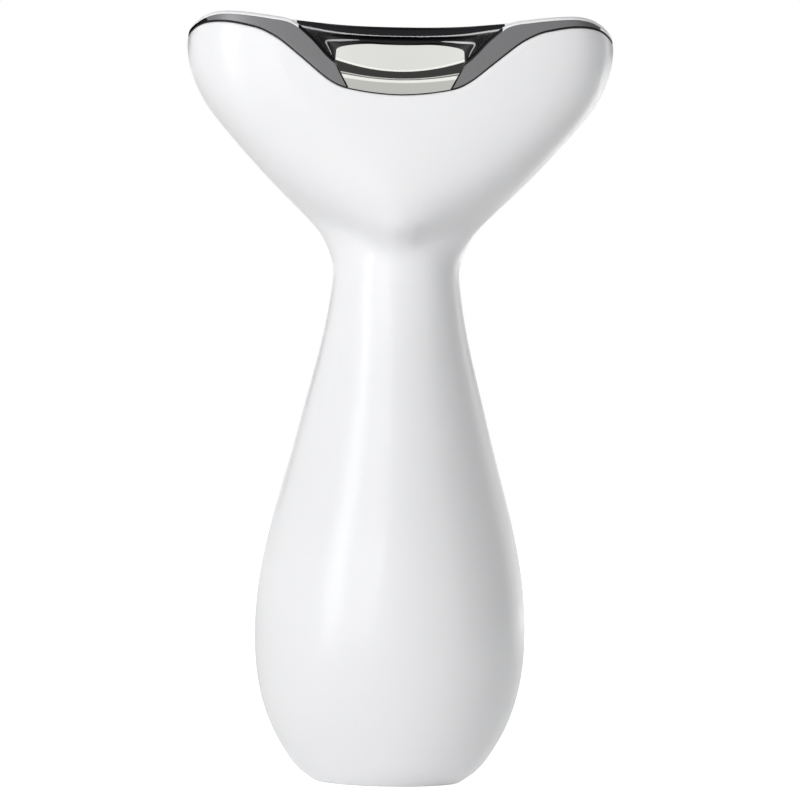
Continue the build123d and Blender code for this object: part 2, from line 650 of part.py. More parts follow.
with BuildPart() as chassis:
    block((-SPINE_WIDTH / 2, SPINE_WIDTH / 2), (SPINE_FRONT, SPINE_BACK), (FOOT_BOTTOM, COLLAR_TOP))
    for bottom in (FOOT_BOTTOM, BULKHEAD_BOTTOM, COLLAR_HEIGHT):
        half_width, half_depth = cavity(bottom, bottom + BULKHEAD_THICKNESS, SHELL_CLEARANCE)
        with BuildSketch(Plane.XY.offset(bottom)):
            Ellipse(half_width, half_depth)
        extrude(amount=BULKHEAD_THICKNESS)
        block((-NOTCH_HALF_WIDTH, NOTCH_HALF_WIDTH), (SPINE_BACK, SPINE_BACK + NOTCH_DEPTH),
              (bottom, bottom + BULKHEAD_THICKNESS), Mode.SUBTRACT)
    for bottom in (BATTERY_BOTTOM + CRADLE_LENGTH, BATTERY_TOP - 2 * CRADLE_LENGTH):
        ring = Plane((0, BATTERY_Y, bottom))
        rod(ring, SLEEVE_RADIUS + SEAT_GAP + CRADLE_THICKNESS, CRADLE_LENGTH)
        block((-BATTERY_RADIUS * 2, BATTERY_RADIUS * 2), (-BATTERY_RADIUS * 3, BATTERY_Y),
              (bottom, bottom + CRADLE_LENGTH), Mode.SUBTRACT)
        block((-BATTERY_RADIUS * 2, BATTERY_RADIUS * 2), (SPINE_BACK, BATTERY_RADIUS),
              (bottom, bottom + CRADLE_LENGTH), Mode.SUBTRACT)
    rod(Plane((0, BATTERY_Y, FOOT_TOP)), SLEEVE_RADIUS + SEAT_GAP, BULKHEAD_BOTTOM - FOOT_TOP,
        Mode.SUBTRACT)
    for z in POST_HEIGHTS:
        for side in SIDES:
            rod(facing_y(side * POST_X, SPINE_BACK, z), BOSS_RADIUS, STAND_OFF)
            rod(facing_y(side * POST_X, SPINE_FRONT + SEAT_GAP, z), SCREW_RADIUS + RUNNING_FIT,
                SPINE_THICKNESS + STAND_OFF, Mode.SUBTRACT)
finish(chassis, "chassis")

with BuildPart() as battery_cell:
    rod(Plane((0, BATTERY_Y, BATTERY_BOTTOM)), BATTERY_RADIUS, BATTERY_LENGTH)
finish(battery_cell, "battery_cell")

sleeve_foot = Plane((0, BATTERY_Y, BATTERY_BOTTOM + SLEEVE_SHORT))
with BuildPart() as battery_sleeve:
    rod(sleeve_foot, SLEEVE_RADIUS, BATTERY_LENGTH - 2 * SLEEVE_SHORT)
    rod(sleeve_foot, BATTERY_RADIUS + SEAT_GAP, BATTERY_LENGTH - 2 * SLEEVE_SHORT, Mode.SUBTRACT)
finish(battery_sleeve, "battery_sleeve")

with BuildPart() as battery_tabs:
    for bottom in (BATTERY_BOTTOM - TAB_THICKNESS, BATTERY_TOP):
        block((-BATTERY_RADIUS / 2, TAB_END), (BATTERY_Y - TAB_WIDTH / 2, BATTERY_Y + TAB_WIDTH / 2),
              (bottom, bottom + TAB_THICKNESS))
finish(battery_tabs, "battery_tabs")

with BuildPart() as main_board:
    block((-BOARD_WIDTH / 2, BOARD_WIDTH / 2), (BOARD_FRONT, BOARD_BACK), (BOARD_BOTTOM, BOARD_TOP))
    for z in POST_HEIGHTS:
        for side in SIDES:
            rod(facing_y(side * POST_X, BOARD_FRONT, z), SCREW_RADIUS + FIT, BOARD_THICKNESS, Mode.SUBTRACT)
finish(main_board, "main_board")

with BuildPart() as board_screws:
    for z in POST_HEIGHTS:
        for side in SIDES:
            rod(facing_y(side * POST_X, BOARD_BACK - SCREW_BITE - BOARD_THICKNESS + FIT, z), SCREW_RADIUS,
                SCREW_BITE + BOARD_THICKNESS - FIT)
            rod(facing_y(side * POST_X, BOARD_BACK, z), SCREW_HEAD_RADIUS, SCREW_HEAD_HEIGHT)
            block((side * POST_X - SCREW_HEAD_RADIUS * 0.7, side * POST_X + SCREW_HEAD_RADIUS * 0.7),
                  (BOARD_BACK + SCREW_HEAD_HEIGHT / 2, BOARD_BACK + SCREW_HEAD_HEIGHT),
                  (z - 0.25, z + 0.25), Mode.SUBTRACT)
finish(board_screws, "board_screws")

with BuildPart() as controller_chip:
    with Locations((0, BOARD_BACK + CHIP_THICKNESS / 2, CHIP_ROW)):
        Box(CONTROLLER_SIZE, CHIP_THICKNESS, CONTROLLER_SIZE)
finish(controller_chip, "controller_chip")

with BuildPart() as charger_chip:
    with Locations((0, BOARD_BACK + CHIP_THICKNESS / 2, CHIP_ROW - CHARGER_DROP)):
        Box(CHARGER_SIZE, CHIP_THICKNESS, CHARGER_SIZE)
finish(charger_chip, "charger_chip")

with BuildPart() as pulse_coil:
    rod(facing_y(-COIL_X, BOARD_BACK, CHIP_ROW), COIL_RADIUS, COIL_HEIGHT)
finish(pulse_coil, "pulse_coil")

with BuildPart() as capacitors:
    for step in range(CAPACITOR_COUNT):
        z = CHIP_ROW + (step - CAPACITOR_COUNT + 1) * CAPACITOR_PITCH
        with Locations((CAPACITOR_X, BOARD_BACK + CAPACITOR_WIDTH / 2, z)):
            Box(2 * CAPACITOR_WIDTH, CAPACITOR_WIDTH, CAPACITOR_WIDTH)
    rod(facing_y(-COIL_X, BOARD_BACK, CHIP_ROW - CHARGER_DROP), CAN_RADIUS, CAN_HEIGHT)
finish(capacitors, "capacitors")

with BuildPart() as lead_connector:
    block((-CONNECTOR_WIDTH / 2, CONNECTOR_WIDTH / 2), (BOARD_BACK, BOARD_BACK + CONNECTOR_DEPTH),
          (CONNECTOR_TOP - CONNECTOR_HEIGHT, CONNECTOR_TOP))
finish(lead_connector, "lead_connector")

with BuildPart() as battery_connector:
    block((BATTERY_PLUG_X - CONNECTOR_HEIGHT / 2, BATTERY_PLUG_X + CONNECTOR_HEIGHT / 2),
          (BOARD_BACK, BOARD_BACK + CONNECTOR_DEPTH), (PLUG_BOTTOM, PLUG_TOP))
finish(battery_connector, "battery_connector")

# ---------------------------------------------------------------- power button

with BuildPart() as button_cap:
    rod(BUTTON_PLANE.offset(FLANGE_TOP), BUTTON_RADIUS, -FLANGE_TOP + 2)
    body_half(BACK, BUTTON_PROUD, *BUTTON_BAND, mode=Mode.INTERSECT)
    rod(BUTTON_PLANE.offset(FLANGE_BOTTOM), BUTTON_FLANGE_RADIUS, BUTTON_FLANGE_THICKNESS)
finish(button_cap, "button_cap")

with BuildPart() as light_ring:
    ring_foot = BUTTON_PLANE.offset(FLANGE_TOP + SHELL_CLEARANCE)
    rod(ring_foot, LIGHT_RING_RADIUS, 3 * WALL)
    rod(ring_foot, LIGHT_RING_BORE, 3 * WALL, Mode.SUBTRACT)
    body_half(BACK, 0, *BUTTON_BAND, mode=Mode.INTERSECT)
finish(light_ring, "light_ring")

with BuildPart() as trim_ring:
    rod(BUTTON_PLANE.offset(-2 * WALL), TRIM_RING_RADIUS, 4 * WALL)
    rod(BUTTON_PLANE.offset(-2 * WALL), SHELL_HOLE, 4 * WALL, Mode.SUBTRACT)
    body_half(BACK, TRIM_RING_PROUD, *BUTTON_BAND, mode=Mode.INTERSECT)
    body_half(BACK, -TRIM_RING_DEPTH, *BUTTON_BAND, mode=Mode.SUBTRACT)
finish(trim_ring, "trim_ring")

with BuildPart() as key_board:
    with Locations(shifted(BUTTON_PLANE, 0, 0, KEY_BOARD_BACK).location):
        Box(KEY_BOARD_LENGTH, KEY_BOARD_HEIGHT, KEY_BOARD_THICKNESS, align=RISING)
    for side in SIDES:
        rod(shifted(BUTTON_PLANE, side * KEY_SCREW_X, 0, KEY_BOARD_BACK), SCREW_RADIUS + FIT,
            KEY_BOARD_THICKNESS, Mode.SUBTRACT)
finish(key_board, "key_board")

with BuildPart() as key_screws:
    for side in SIDES:
        under_board = shifted(BUTTON_PLANE, side * KEY_SCREW_X, 0, KEY_BOARD_BACK)
        rod(under_board, SCREW_RADIUS, KEY_BOARD_THICKNESS + SCREW_BITE - FIT)
        rod(under_board.offset(-SCREW_HEAD_HEIGHT), SCREW_HEAD_RADIUS, SCREW_HEAD_HEIGHT)
finish(key_screws, "key_screws")

with BuildPart() as switch_body:
    with Locations(shifted(BUTTON_PLANE, 0, 0, KEY_BOARD_FACE).location):
        Box(SWITCH_SIZE, SWITCH_SIZE, SWITCH_BODY_HEIGHT, align=RISING)
    rod(BUTTON_PLANE.offset(KEY_BOARD_FACE + SWITCH_FLOOR), PLUNGER_RADIUS + RUNNING_FIT,
        SWITCH_BODY_HEIGHT, Mode.SUBTRACT)
finish(switch_body, "switch_body")

PLUNGER_BOTTOM = KEY_BOARD_FACE + SWITCH_FLOOR + BUTTON_TRAVEL + SEAT_GAP
with BuildPart() as switch_plunger:
    rod(BUTTON_PLANE.offset(PLUNGER_BOTTOM), PLUNGER_RADIUS, PLUNGER_TOP - PLUNGER_BOTTOM)
finish(switch_plunger, "switch_plunger")

with BuildPart() as indicator_lights:
    for x, y in ((-LIGHT_X, 0), (LIGHT_X, 0), (0, LIGHT_X), (0, -LIGHT_X)):
        with Locations(shifted(BUTTON_PLANE, x, y, KEY_BOARD_FACE).location):
            Box(LIGHT_SIZE, LIGHT_SIZE, LIGHT_SIZE / 2, align=RISING)
finish(indicator_lights, "indicator_lights")

# ---------------------------------------------------------------- head

with BuildPart() as head_gasket:
    slab(edge_at, lowered(edge_at, -GASKET_THICKNESS))
    add(head_core(-FIT), mode=Mode.INTERSECT)
    add(head_core(-WALL), mode=Mode.SUBTRACT)
finish(head_gasket, "head_gasket")

with BuildPart() as spout:
    add(spout_front(SPOUT_GAP))
    block((-PLATE_HALF_WIDTH * 2, PLATE_HALF_WIDTH * 2), (0, FRONT_PLANE + BACK_PLANE),
          (HEAD_BOTTOM, HEAD_TOP), Mode.SUBTRACT)

with BuildPart() as head_bezel:
    slab(lowered(edge_at, -GASKET_THICKNESS), top_at)
    add(head_core(0), mode=Mode.INTERSECT)
    add(head_core(-BEZEL_WIDTH), mode=Mode.SUBTRACT)
    add(spout.part, mode=Mode.SUBTRACT)
finish(head_bezel, "head_bezel")

POCKET_HALF_WIDTH = PLATE_HALF_WIDTH + 6
saddle_front = -FACE_DEPTH + SADDLE_SETBACK
plate_under = lowered(saddle_at, PLATE_RECESS + PLATE_THICKNESS)
pocket_floor = lowered(saddle_at, PLATE_RECESS + PLATE_THICKNESS + INSULATOR_THICKNESS + 2 * SEAT_GAP)

with BuildPart() as pocket:
    slab(pocket_floor, level(HEAD_TOP), half_width=POCKET_HALF_WIDTH)
    add(spout_plan(INSULATOR_RIM + SEAT_GAP, -2 * FRONT_PLANE), mode=Mode.INTERSECT)

with BuildPart() as contact_saddle:
    slab(lowered(saddle_at, SADDLE_THICKNESS), saddle_at)
    add(head_core(-BEZEL_WIDTH - SEAT_GAP), mode=Mode.INTERSECT)
    block((-PLATE_HALF_WIDTH - 1, PLATE_HALF_WIDTH + 1), (-2 * FRONT_PLANE, saddle_front),
          (HEAD_BOTTOM, HEAD_TOP), Mode.SUBTRACT)
    add(pocket.part, mode=Mode.SUBTRACT)
finish(contact_saddle, "contact_saddle")

with BuildPart() as tray:
    slab(lowered(plate_under, SEAT_GAP), level(HEAD_TOP), half_width=POCKET_HALF_WIDTH)
    add(spout_plan(SEAT_GAP, -2 * FRONT_PLANE), mode=Mode.INTERSECT)

with BuildPart() as plate_insulator:
    slab(lowered(pocket_floor, -SEAT_GAP), lowered(saddle_at, SEAT_GAP), half_width=POCKET_HALF_WIDTH)
    add(spout_plan(INSULATOR_RIM, saddle_front), mode=Mode.INTERSECT)
    add(tray.part, mode=Mode.SUBTRACT)
finish(plate_insulator, "plate_insulator")

with BuildPart() as above_gasket:
    slab(lowered(edge_at, -GASKET_THICKNESS), level(HEAD_TOP), half_width=POCKET_HALF_WIDTH)

plate_top = lowered(saddle_at, PLATE_RECESS)
plate_stations = [x for x in HEAD_STATIONS if x < PLATE_HALF_WIDTH - 0.5] + [PLATE_HALF_WIDTH + 0.5]
with BuildPart() as contact_plate:
    sections = []
    for x in [-s for s in plate_stations[:0:-1]] + plate_stations:
        foot = height_on(edge_at, x, -FACE_DEPTH) - PLATE_THICKNESS
        face = -face_reach(x, foot)
        inside = face + PLATE_THICKNESS
        top_back = height_on(plate_top, x, PLATE_BACK + 1)
        top_face = height_on(plate_top, x, face)
        under_back = top_back - PLATE_THICKNESS
        under_face = height_on(plate_top, x, inside) - PLATE_THICKNESS
        with BuildSketch(Plane.YZ.offset(x)) as section:
            with BuildLine():
                FilletPolyline(
                    (PLATE_BACK + 1, top_back), (face, top_face), (face, foot), (inside, foot),
                    (inside, under_face), (PLATE_BACK + 1, under_back),
                    radius=[0, PLATE_FOLD_RADIUS, 0, 0, PLATE_FOLD_RADIUS - PLATE_THICKNESS, 0], close=True,
                )
            make_face()
        sections.append(section.sketch)
    loft(sections, ruled=True)
    add(above_gasket.part, mode=Mode.INTERSECT)
    add(spout_front(0), mode=Mode.INTERSECT)
    add(spout_plan(0, -2 * FRONT_PLANE), mode=Mode.INTERSECT)
finish(contact_plate, "contact_plate")

with BuildPart() as heater_film:
    slab(lowered(saddle_at, SADDLE_THICKNESS + SEAT_GAP + HEATER_THICKNESS),
         lowered(saddle_at, SADDLE_THICKNESS + SEAT_GAP), half_width=HEATER_HALF_WIDTH)
    block((-HEATER_HALF_WIDTH, HEATER_HALF_WIDTH), (HEATER_FRONT, PLATE_BACK - 2), (HEAD_BOTTOM, HEAD_TOP),
          Mode.INTERSECT)
finish(heater_film, "heater_film")

SENSOR_Y = HEATER_FRONT + 3
film_under = lowered(saddle_at, SADDLE_THICKNESS + 2 * SEAT_GAP + HEATER_THICKNESS)
with BuildPart() as heat_sensor:
    slab(lowered(film_under, SENSOR_HEIGHT), film_under, half_width=6)
    block((-1.5, 1.5), (SENSOR_Y - 1, SENSOR_Y + 1), (HEAD_BOTTOM, HEAD_TOP), Mode.INTERSECT)
finish(heat_sensor, "heat_sensor")

carrier_top = lowered(saddle_at, CARRIER_DROP)
carrier_under = lowered(saddle_at, CARRIER_DROP + CARRIER_THICKNESS)
pin_head = height_on(lowered(saddle_at, SADDLE_THICKNESS), PIN_X, PIN_Y) - SHELL_CLEARANCE
COLUMN_X = (-7.0, -2.5)
COLUMN_Y = (-7.0, -1.0)
with BuildPart() as head_carrier:
    slab(carrier_under, carrier_top)
    add(head_core(-BEZEL_WIDTH - SHELL_CLEARANCE), mode=Mode.INTERSECT)
    block((-6, 6), (HEATER_FRONT - 1, COLUMN_Y[0] - 0.5), (HEAD_BOTTOM, HEAD_TOP), Mode.SUBTRACT)
    for side in SIDES:
        x = side * CARRIER_SCREW_X
        lug_back = CARRIER_LUG_FRONT + CARRIER_LUG_THICKNESS
        lug_top = height_on(carrier_top, CARRIER_SCREW_X - CARRIER_LUG_WIDTH / 2, CARRIER_LUG_FRONT) - 0.5
        block((x - CARRIER_LUG_WIDTH / 2, x + CARRIER_LUG_WIDTH / 2), (CARRIER_LUG_FRONT, lug_back),
              (CARRIER_SCREW_Z - CARRIER_LUG_WIDTH / 2, lug_top))
        rod(facing_y(x, CARRIER_LUG_FRONT, CARRIER_SCREW_Z), SCREW_RADIUS + FIT, CARRIER_LUG_THICKNESS,
            Mode.SUBTRACT)
        rod(Plane((side * PIN_X, PIN_Y, pin_head - 3)), PIN_RADIUS + 1, 2)
        rod(Plane((side * PIN_X, PIN_Y, pin_head - 6)), PIN_RADIUS + SEAT_GAP, 12, Mode.SUBTRACT)
    column_top = height_on(carrier_under, 0, sum(COLUMN_Y) / 2) + CARRIER_THICKNESS / 2
    block(COLUMN_X, COLUMN_Y, (MOTOR_HEIGHT + MOTOR_RADIUS, column_top))
    rod(on_shaft(CLAMP_LEFT), CLAMP_RADIUS, CLAMP_LENGTH)
    rod(on_shaft(CLAMP_LEFT), CLAMP_BORE, CLAMP_LENGTH, Mode.SUBTRACT)
finish(head_carrier, "head_carrier")

with BuildPart() as carrier_screws:
    for side in SIDES:
        head = facing_y(side * CARRIER_SCREW_X, CARRIER_LUG_FRONT + CARRIER_LUG_THICKNESS, CARRIER_SCREW_Z)
        rod(head, SCREW_HEAD_RADIUS, SCREW_HEAD_HEIGHT)
        shank = SCREW_BITE + CARRIER_LUG_THICKNESS
        rod(head.offset(-shank), SCREW_RADIUS, shank)
finish(carrier_screws, "carrier_screws")

with BuildPart() as contact_pins:
    for side in SIDES:
        rod(Plane((side * PIN_X, PIN_Y, pin_head - PIN_LENGTH)), PIN_RADIUS, PIN_LENGTH)
finish(contact_pins, "contact_pins")

# ---------------------------------------------------------------- vibration motor

with BuildPart() as motor_can:
    rod(on_shaft(MOTOR_LEFT), MOTOR_RADIUS, MOTOR_LENGTH)
    rod(on_shaft(MOTOR_LEFT), MOTOR_RADIUS - MOTOR_WALL, MOTOR_LENGTH - MOTOR_NOSE, Mode.SUBTRACT)
    rod(on_shaft(MOTOR_LEFT), SHAFT_RADIUS + RUNNING_FIT, MOTOR_LENGTH, Mode.SUBTRACT)
finish(motor_can, "motor_can")

with BuildPart() as motor_end_cap:
    rod(on_shaft(MOTOR_LEFT), MOTOR_RADIUS - MOTOR_WALL - SEAT_GAP, END_CAP_THICKNESS)
    rod(on_shaft(MOTOR_LEFT + END_CAP_FLOOR), SHAFT_RADIUS + RUNNING_FIT, END_CAP_THICKNESS, Mode.SUBTRACT)
    for side in SIDES:
        middle = MOTOR_Y + side * TERMINAL_SPREAD
        block((TERMINAL_LEFT, MOTOR_LEFT), (middle - TERMINAL_WIDTH / 2, middle + TERMINAL_WIDTH / 2),
              (MOTOR_HEIGHT - TERMINAL_THICKNESS / 2, MOTOR_HEIGHT + TERMINAL_THICKNESS / 2))
finish(motor_end_cap, "motor_end_cap")

ROTOR_LEFT = MOTOR_LEFT + 2 * END_CAP_THICKNESS
with BuildPart() as motor_magnet:
    outer = MOTOR_RADIUS - MOTOR_WALL - SEAT_GAP
    rod(on_shaft(ROTOR_LEFT), outer, ROTOR_LENGTH)
    rod(on_shaft(ROTOR_LEFT), outer - MAGNET_THICKNESS, ROTOR_LENGTH, Mode.SUBTRACT)
finish(motor_magnet, "motor_magnet")

with BuildPart() as motor_boot:
    rod(on_shaft(CLAMP_LEFT), BOOT_RADIUS, CLAMP_LENGTH)
    rod(on_shaft(CLAMP_LEFT), MOTOR_RADIUS + SEAT_GAP, CLAMP_LENGTH, Mode.SUBTRACT)
finish(motor_boot, "motor_boot")

WEIGHT_LEFT = MOTOR_RIGHT + WEIGHT_GAP
SHAFT_LEFT = MOTOR_LEFT + END_CAP_FLOOR + SEAT_GAP
with BuildPart() as motor_shaft:
    rod(on_shaft(SHAFT_LEFT), SHAFT_RADIUS, WEIGHT_LEFT + WEIGHT_LENGTH + SHAFT_RADIUS - SHAFT_LEFT)
finish(motor_shaft, "motor_shaft")

with BuildPart() as rotor_core:
    rod(on_shaft(ROTOR_LEFT), ROTOR_RADIUS, ROTOR_LENGTH)
    for turn in range(ROTOR_SLOTS):
        slot = on_shaft(ROTOR_LEFT).rotated((0, 0, 360 * turn / ROTOR_SLOTS))
        rod(shifted(slot, ROTOR_RADIUS, 0, 0), ROTOR_SLOT_RADIUS, ROTOR_LENGTH, Mode.SUBTRACT)
    rod(on_shaft(ROTOR_LEFT), SHAFT_RADIUS + SEAT_GAP / 2, ROTOR_LENGTH, Mode.SUBTRACT)
finish(rotor_core, "rotor_core")

with BuildPart() as eccentric_weight:
    rod(on_shaft(WEIGHT_LEFT), WEIGHT_RADIUS, WEIGHT_LENGTH)
    block((WEIGHT_LEFT, WEIGHT_LEFT + WEIGHT_LENGTH), (MOTOR_Y - WEIGHT_RADIUS, MOTOR_Y + WEIGHT_RADIUS),
          (MOTOR_HEIGHT + 2 * SHAFT_RADIUS, MOTOR_HEIGHT + WEIGHT_RADIUS), Mode.SUBTRACT)
    rod(on_shaft(WEIGHT_LEFT), SHAFT_RADIUS + SEAT_GAP / 2, WEIGHT_LENGTH, Mode.SUBTRACT)
finish(eccentric_weight, "eccentric_weight")

# ---------------------------------------------------------------- leads

LANE = SPINE_BACK + 1.0
ABOVE_COLLAR = COLLAR_TOP + 1.9
NECK = NECK_HEIGHT - 2.5
CHIN = NECK_HEIGHT + 3.5
UNDER_MOTOR = MOTOR_HEIGHT - 10


def to_board(x):
    """The last points of a lead: down the back of the spine to the board's connector."""
    return [(x, LANE, ABOVE_COLLAR), (x, LANE, BULKHEAD_TOP + 6.8), (x, LEAD_LANE, BULKHEAD_TOP),
            (x, LEAD_LANE, CONNECTOR_TOP)]


with BuildPart() as motor_lead_red:
    lead("motor_lead_red", [
        (TERMINAL_LEFT, MOTOR_Y - TERMINAL_SPREAD, MOTOR_HEIGHT), (-16.5, MOTOR_Y - 1.6, MOTOR_HEIGHT - 2),
        (-16, MOTOR_Y - 0.5, UNDER_MOTOR), (-10.4, -1.8, CHIN), (-7.0, 1.6, NECK)] + to_board(-6.0))
finish(motor_lead_red, "motor_lead_red")

with BuildPart() as motor_lead_black:
    lead("motor_lead_black", [
        (TERMINAL_LEFT, MOTOR_Y + TERMINAL_SPREAD, MOTOR_HEIGHT), (-16.5, MOTOR_Y + 1.6, MOTOR_HEIGHT - 2),
        (-16, MOTOR_Y + 2.2, UNDER_MOTOR), (-10.0, 0.8, CHIN), (-5.9, 3.2, NECK)] + to_board(-4.4))
finish(motor_lead_black, "motor_lead_black")

with BuildPart() as electrode_leads:
    lead("electrode_lead_left", [
        (-PIN_X, PIN_Y, pin_head - PIN_LENGTH), (-PIN_X, PIN_Y, MOTOR_HEIGHT + 15),
        (-25, -6, MOTOR_HEIGHT + 2), (-15.5, -6.3, UNDER_MOTOR), (-8, -5.5, CHIN),
        (-4.2, -0.5, NECK)] + to_board(-2.6))
    lead("electrode_lead_right", [
        (PIN_X, PIN_Y, pin_head - PIN_LENGTH), (PIN_X, PIN_Y, MOTOR_HEIGHT + 15),
        (25, -4, MOTOR_HEIGHT + 2), (16, -2.5, UNDER_MOTOR), (9.6, -0.5, CHIN),
        (6.2, 2, NECK)] + to_board(5.0))
finish(electrode_leads, "electrode_leads")

sensor_foot = height_on(lowered(film_under, SENSOR_HEIGHT), 0, SENSOR_Y - 1)
with BuildPart() as heater_leads:
    for side, lane in ((-1, 0.4), (1, 2.6)):
        lead("heater_lead", [
            (side, SENSOR_Y, sensor_foot), (side, SENSOR_Y - 1, sensor_foot - 3),
            (side + 0.4, -13.4, MOTOR_HEIGHT + 2), (side + 1, -12.6, MOTOR_HEIGHT - 8),
            (lane + 1.2, -8, NECK_HEIGHT + 6.5), (lane + 0.8, -2, NECK_HEIGHT - 1)] + to_board(lane))
finish(heater_leads, "heater_leads")

LEAD_EDGE = SPINE_WIDTH / 2 + 4.4
with BuildPart() as battery_lead_red:
    lead("battery_lead_red", [
        (TAB_END, BATTERY_Y, BATTERY_TOP - 0.4), (LEAD_EDGE, BATTERY_Y + 2.5, BATTERY_TOP - 2),
        (LEAD_EDGE + 0.6, 2, BATTERY_TOP - 4.9), (LEAD_EDGE - 1.0, 8.2, PLUG_TOP + 8.7),
        (BATTERY_PLUG_X, LEAD_LANE, PLUG_TOP + 5.5), (BATTERY_PLUG_X, LEAD_LANE, PLUG_TOP)])
finish(battery_lead_red, "battery_lead_red")

with BuildPart() as battery_lead_black:
    lead("battery_lead_black", [
        (TAB_END, BATTERY_Y, BATTERY_BOTTOM + 0.4), (LEAD_EDGE, BATTERY_Y + 2, BATTERY_BOTTOM + 2.5),
        (LEAD_EDGE + 0.8, 2.5, BATTERY_BOTTOM + 8.1), (LEAD_EDGE, 7.6, PLUG_BOTTOM - 15.5),
        (LEAD_EDGE - 2.6, 9.2, PLUG_BOTTOM - 10), (BATTERY_PLUG_X, LEAD_LANE, PLUG_BOTTOM - 4.5),
        (BATTERY_PLUG_X, LEAD_LANE, PLUG_BOTTOM)])
finish(battery_lead_black, "battery_lead_black")

with BuildPart() as charge_leads:
    for x in (-3, -1, 1, 3):
        lead("charge_lead", [
            (x, CHARGE_BOARD_BACK + 0.5, CHARGE_BOARD_TOP - 3.5), (x, 4.9, CHARGE_BOARD_TOP),
            (x, BOARD_BACK - 0.4, FOOT_TOP + 1.4), (x, BOARD_BACK + 0.8, BOARD_BOTTOM + 0.5),
            (x, BOARD_BACK + 0.5, BOARD_BOTTOM + 5)])
finish(charge_leads, "charge_leads")

key_edge = shifted(BUTTON_PLANE, 0, KEY_BOARD_HEIGHT / 2 - 1, KEY_BOARD_BACK).origin
with BuildPart() as key_leads:
    for x in (6.8, 8.0):
        lead("key_lead", [
            (x, key_edge.Y - 0.5, key_edge.Z), (x, key_edge.Y - 0.9, key_edge.Z - 4),
            (x, LEAD_LANE, BULKHEAD_TOP), (x, LEAD_LANE + 0.05, CONNECTOR_TOP)])
finish(key_leads, "key_leads")
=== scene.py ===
"""Looks of a facial toning device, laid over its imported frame.

The body is one smooth form: each level is a closed curve round the handle or the head, and the
pieces of the outside are strips of that form between two heights.  All sizes in the classes are
millimetres, apart from the studio's cards, and the meshes are written in metres.
"""

import json
import logging
from dataclasses import dataclass, field
from enum import Enum, IntEnum
from functools import cached_property, lru_cache
from typing import Callable

import bmesh
import bpy
import numpy as np
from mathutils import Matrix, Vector

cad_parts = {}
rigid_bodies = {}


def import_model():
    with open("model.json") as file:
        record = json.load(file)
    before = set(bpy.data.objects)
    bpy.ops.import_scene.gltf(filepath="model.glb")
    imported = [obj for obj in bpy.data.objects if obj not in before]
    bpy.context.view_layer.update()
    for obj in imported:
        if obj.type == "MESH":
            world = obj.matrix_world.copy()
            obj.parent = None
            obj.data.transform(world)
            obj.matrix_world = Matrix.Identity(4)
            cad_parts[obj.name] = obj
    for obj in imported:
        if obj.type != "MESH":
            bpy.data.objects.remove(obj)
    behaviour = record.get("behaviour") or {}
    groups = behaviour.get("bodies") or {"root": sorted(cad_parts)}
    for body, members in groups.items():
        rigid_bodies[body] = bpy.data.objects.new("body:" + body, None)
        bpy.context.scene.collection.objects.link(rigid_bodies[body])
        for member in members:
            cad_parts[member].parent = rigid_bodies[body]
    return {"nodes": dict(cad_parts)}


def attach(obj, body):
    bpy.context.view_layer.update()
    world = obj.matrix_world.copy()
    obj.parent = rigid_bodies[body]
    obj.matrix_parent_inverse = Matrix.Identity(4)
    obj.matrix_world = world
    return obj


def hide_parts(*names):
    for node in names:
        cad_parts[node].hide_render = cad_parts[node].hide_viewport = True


for start_object in list(bpy.data.objects):
    bpy.data.objects.remove(start_object)
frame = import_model()

MM = 0.001
LOG = logging.getLogger("toning_device")
Array = np.ndarray
Heights = Callable[[Array, Array], Array]
Run = tuple[tuple[float, float], ...]
Span = tuple[float, float]
Place = tuple[float, float, float]

HALVINGS = 34  # steps of a search that halves its range
SHARP_ANGLE = 40.0  # degrees, over which the head's edges are sharp
STEEP_ANGLE = 50.0  # degrees, over which the other edges are sharp


# ------------------------------------------------------------------ curves


@lru_cache(maxsize=None)
def bends(points: Run, even: bool) -> tuple[Array, Array, Array]:
    """Second derivatives of the smooth curve through some points.

    The curve is a cubic between each two points.  Where two cubics meet they share slope and
    bend, so with gaps h and rises r the bends m obey, at each inner point i,
    h(i-1) m(i-1) + 2 (h(i-1) + h(i)) m(i) + h(i) m(i+1) = 6 (r(i) / h(i) - r(i-1) / h(i-1)).

    Args:
        points: (place, value) pairs in rising order of place.
        even: whether the curve is the same on both sides of place zero.

    Returns:
        The places, the values and the second derivatives.
    """
    at, value = np.array(points, float).T
    if even:
        at, value = np.r_[-at[:0:-1], at], np.r_[value[:0:-1], value]
    gap, rise = np.diff(at), np.diff(value)
    system, right = np.eye(len(at)), np.zeros(len(at))
    i = np.arange(1, len(at) - 1)
    system[i, i - 1], system[i, i], system[i, i + 1] = gap[:-1], 2 * (gap[:-1] + gap[1:]), gap[1:]
    right[i] = 6 * (rise[1:] / gap[1:] - rise[:-1] / gap[:-1])
    return at, value, np.linalg.solve(system, right)


@dataclass(frozen=True)
class Curve:
    """A smooth curve through points, flat beyond its ends."""

    points: Run
    even: bool = False

    def at(self, place: Array) -> Array:
        """Read the curve.

        With a and b the shares of the way to the next and last point, the value is
        a v0 + b v1 + ((a^3 - a) m0 + (b^3 - b) m1) h^2 / 6.

        Args:
            place: where to read it.

        Returns:
            The values there.
        """
        at, value, bend = bends(self.points, self.even)
        place = np.clip(place, at[0], at[-1])
        i = np.clip(np.searchsorted(at, place) - 1, 0, len(at) - 2)
        gap = at[i + 1] - at[i]
        a = (at[i + 1] - place) / gap
        b = 1 - a
        bow = ((a**3 - a) * bend[i] + (b**3 - b) * bend[i + 1]) * gap**2 / 6
        return a * value[i] + b * value[i + 1] + bow


def laid(run: Run, places: Span, values: Span) -> Run:
    """Lay (share of the way, share of the change) pairs between two places and their values."""
    (low, high), (first, last) = places, values
    return tuple((low + s * (high - low), first + c * (last - first)) for s, c in run)


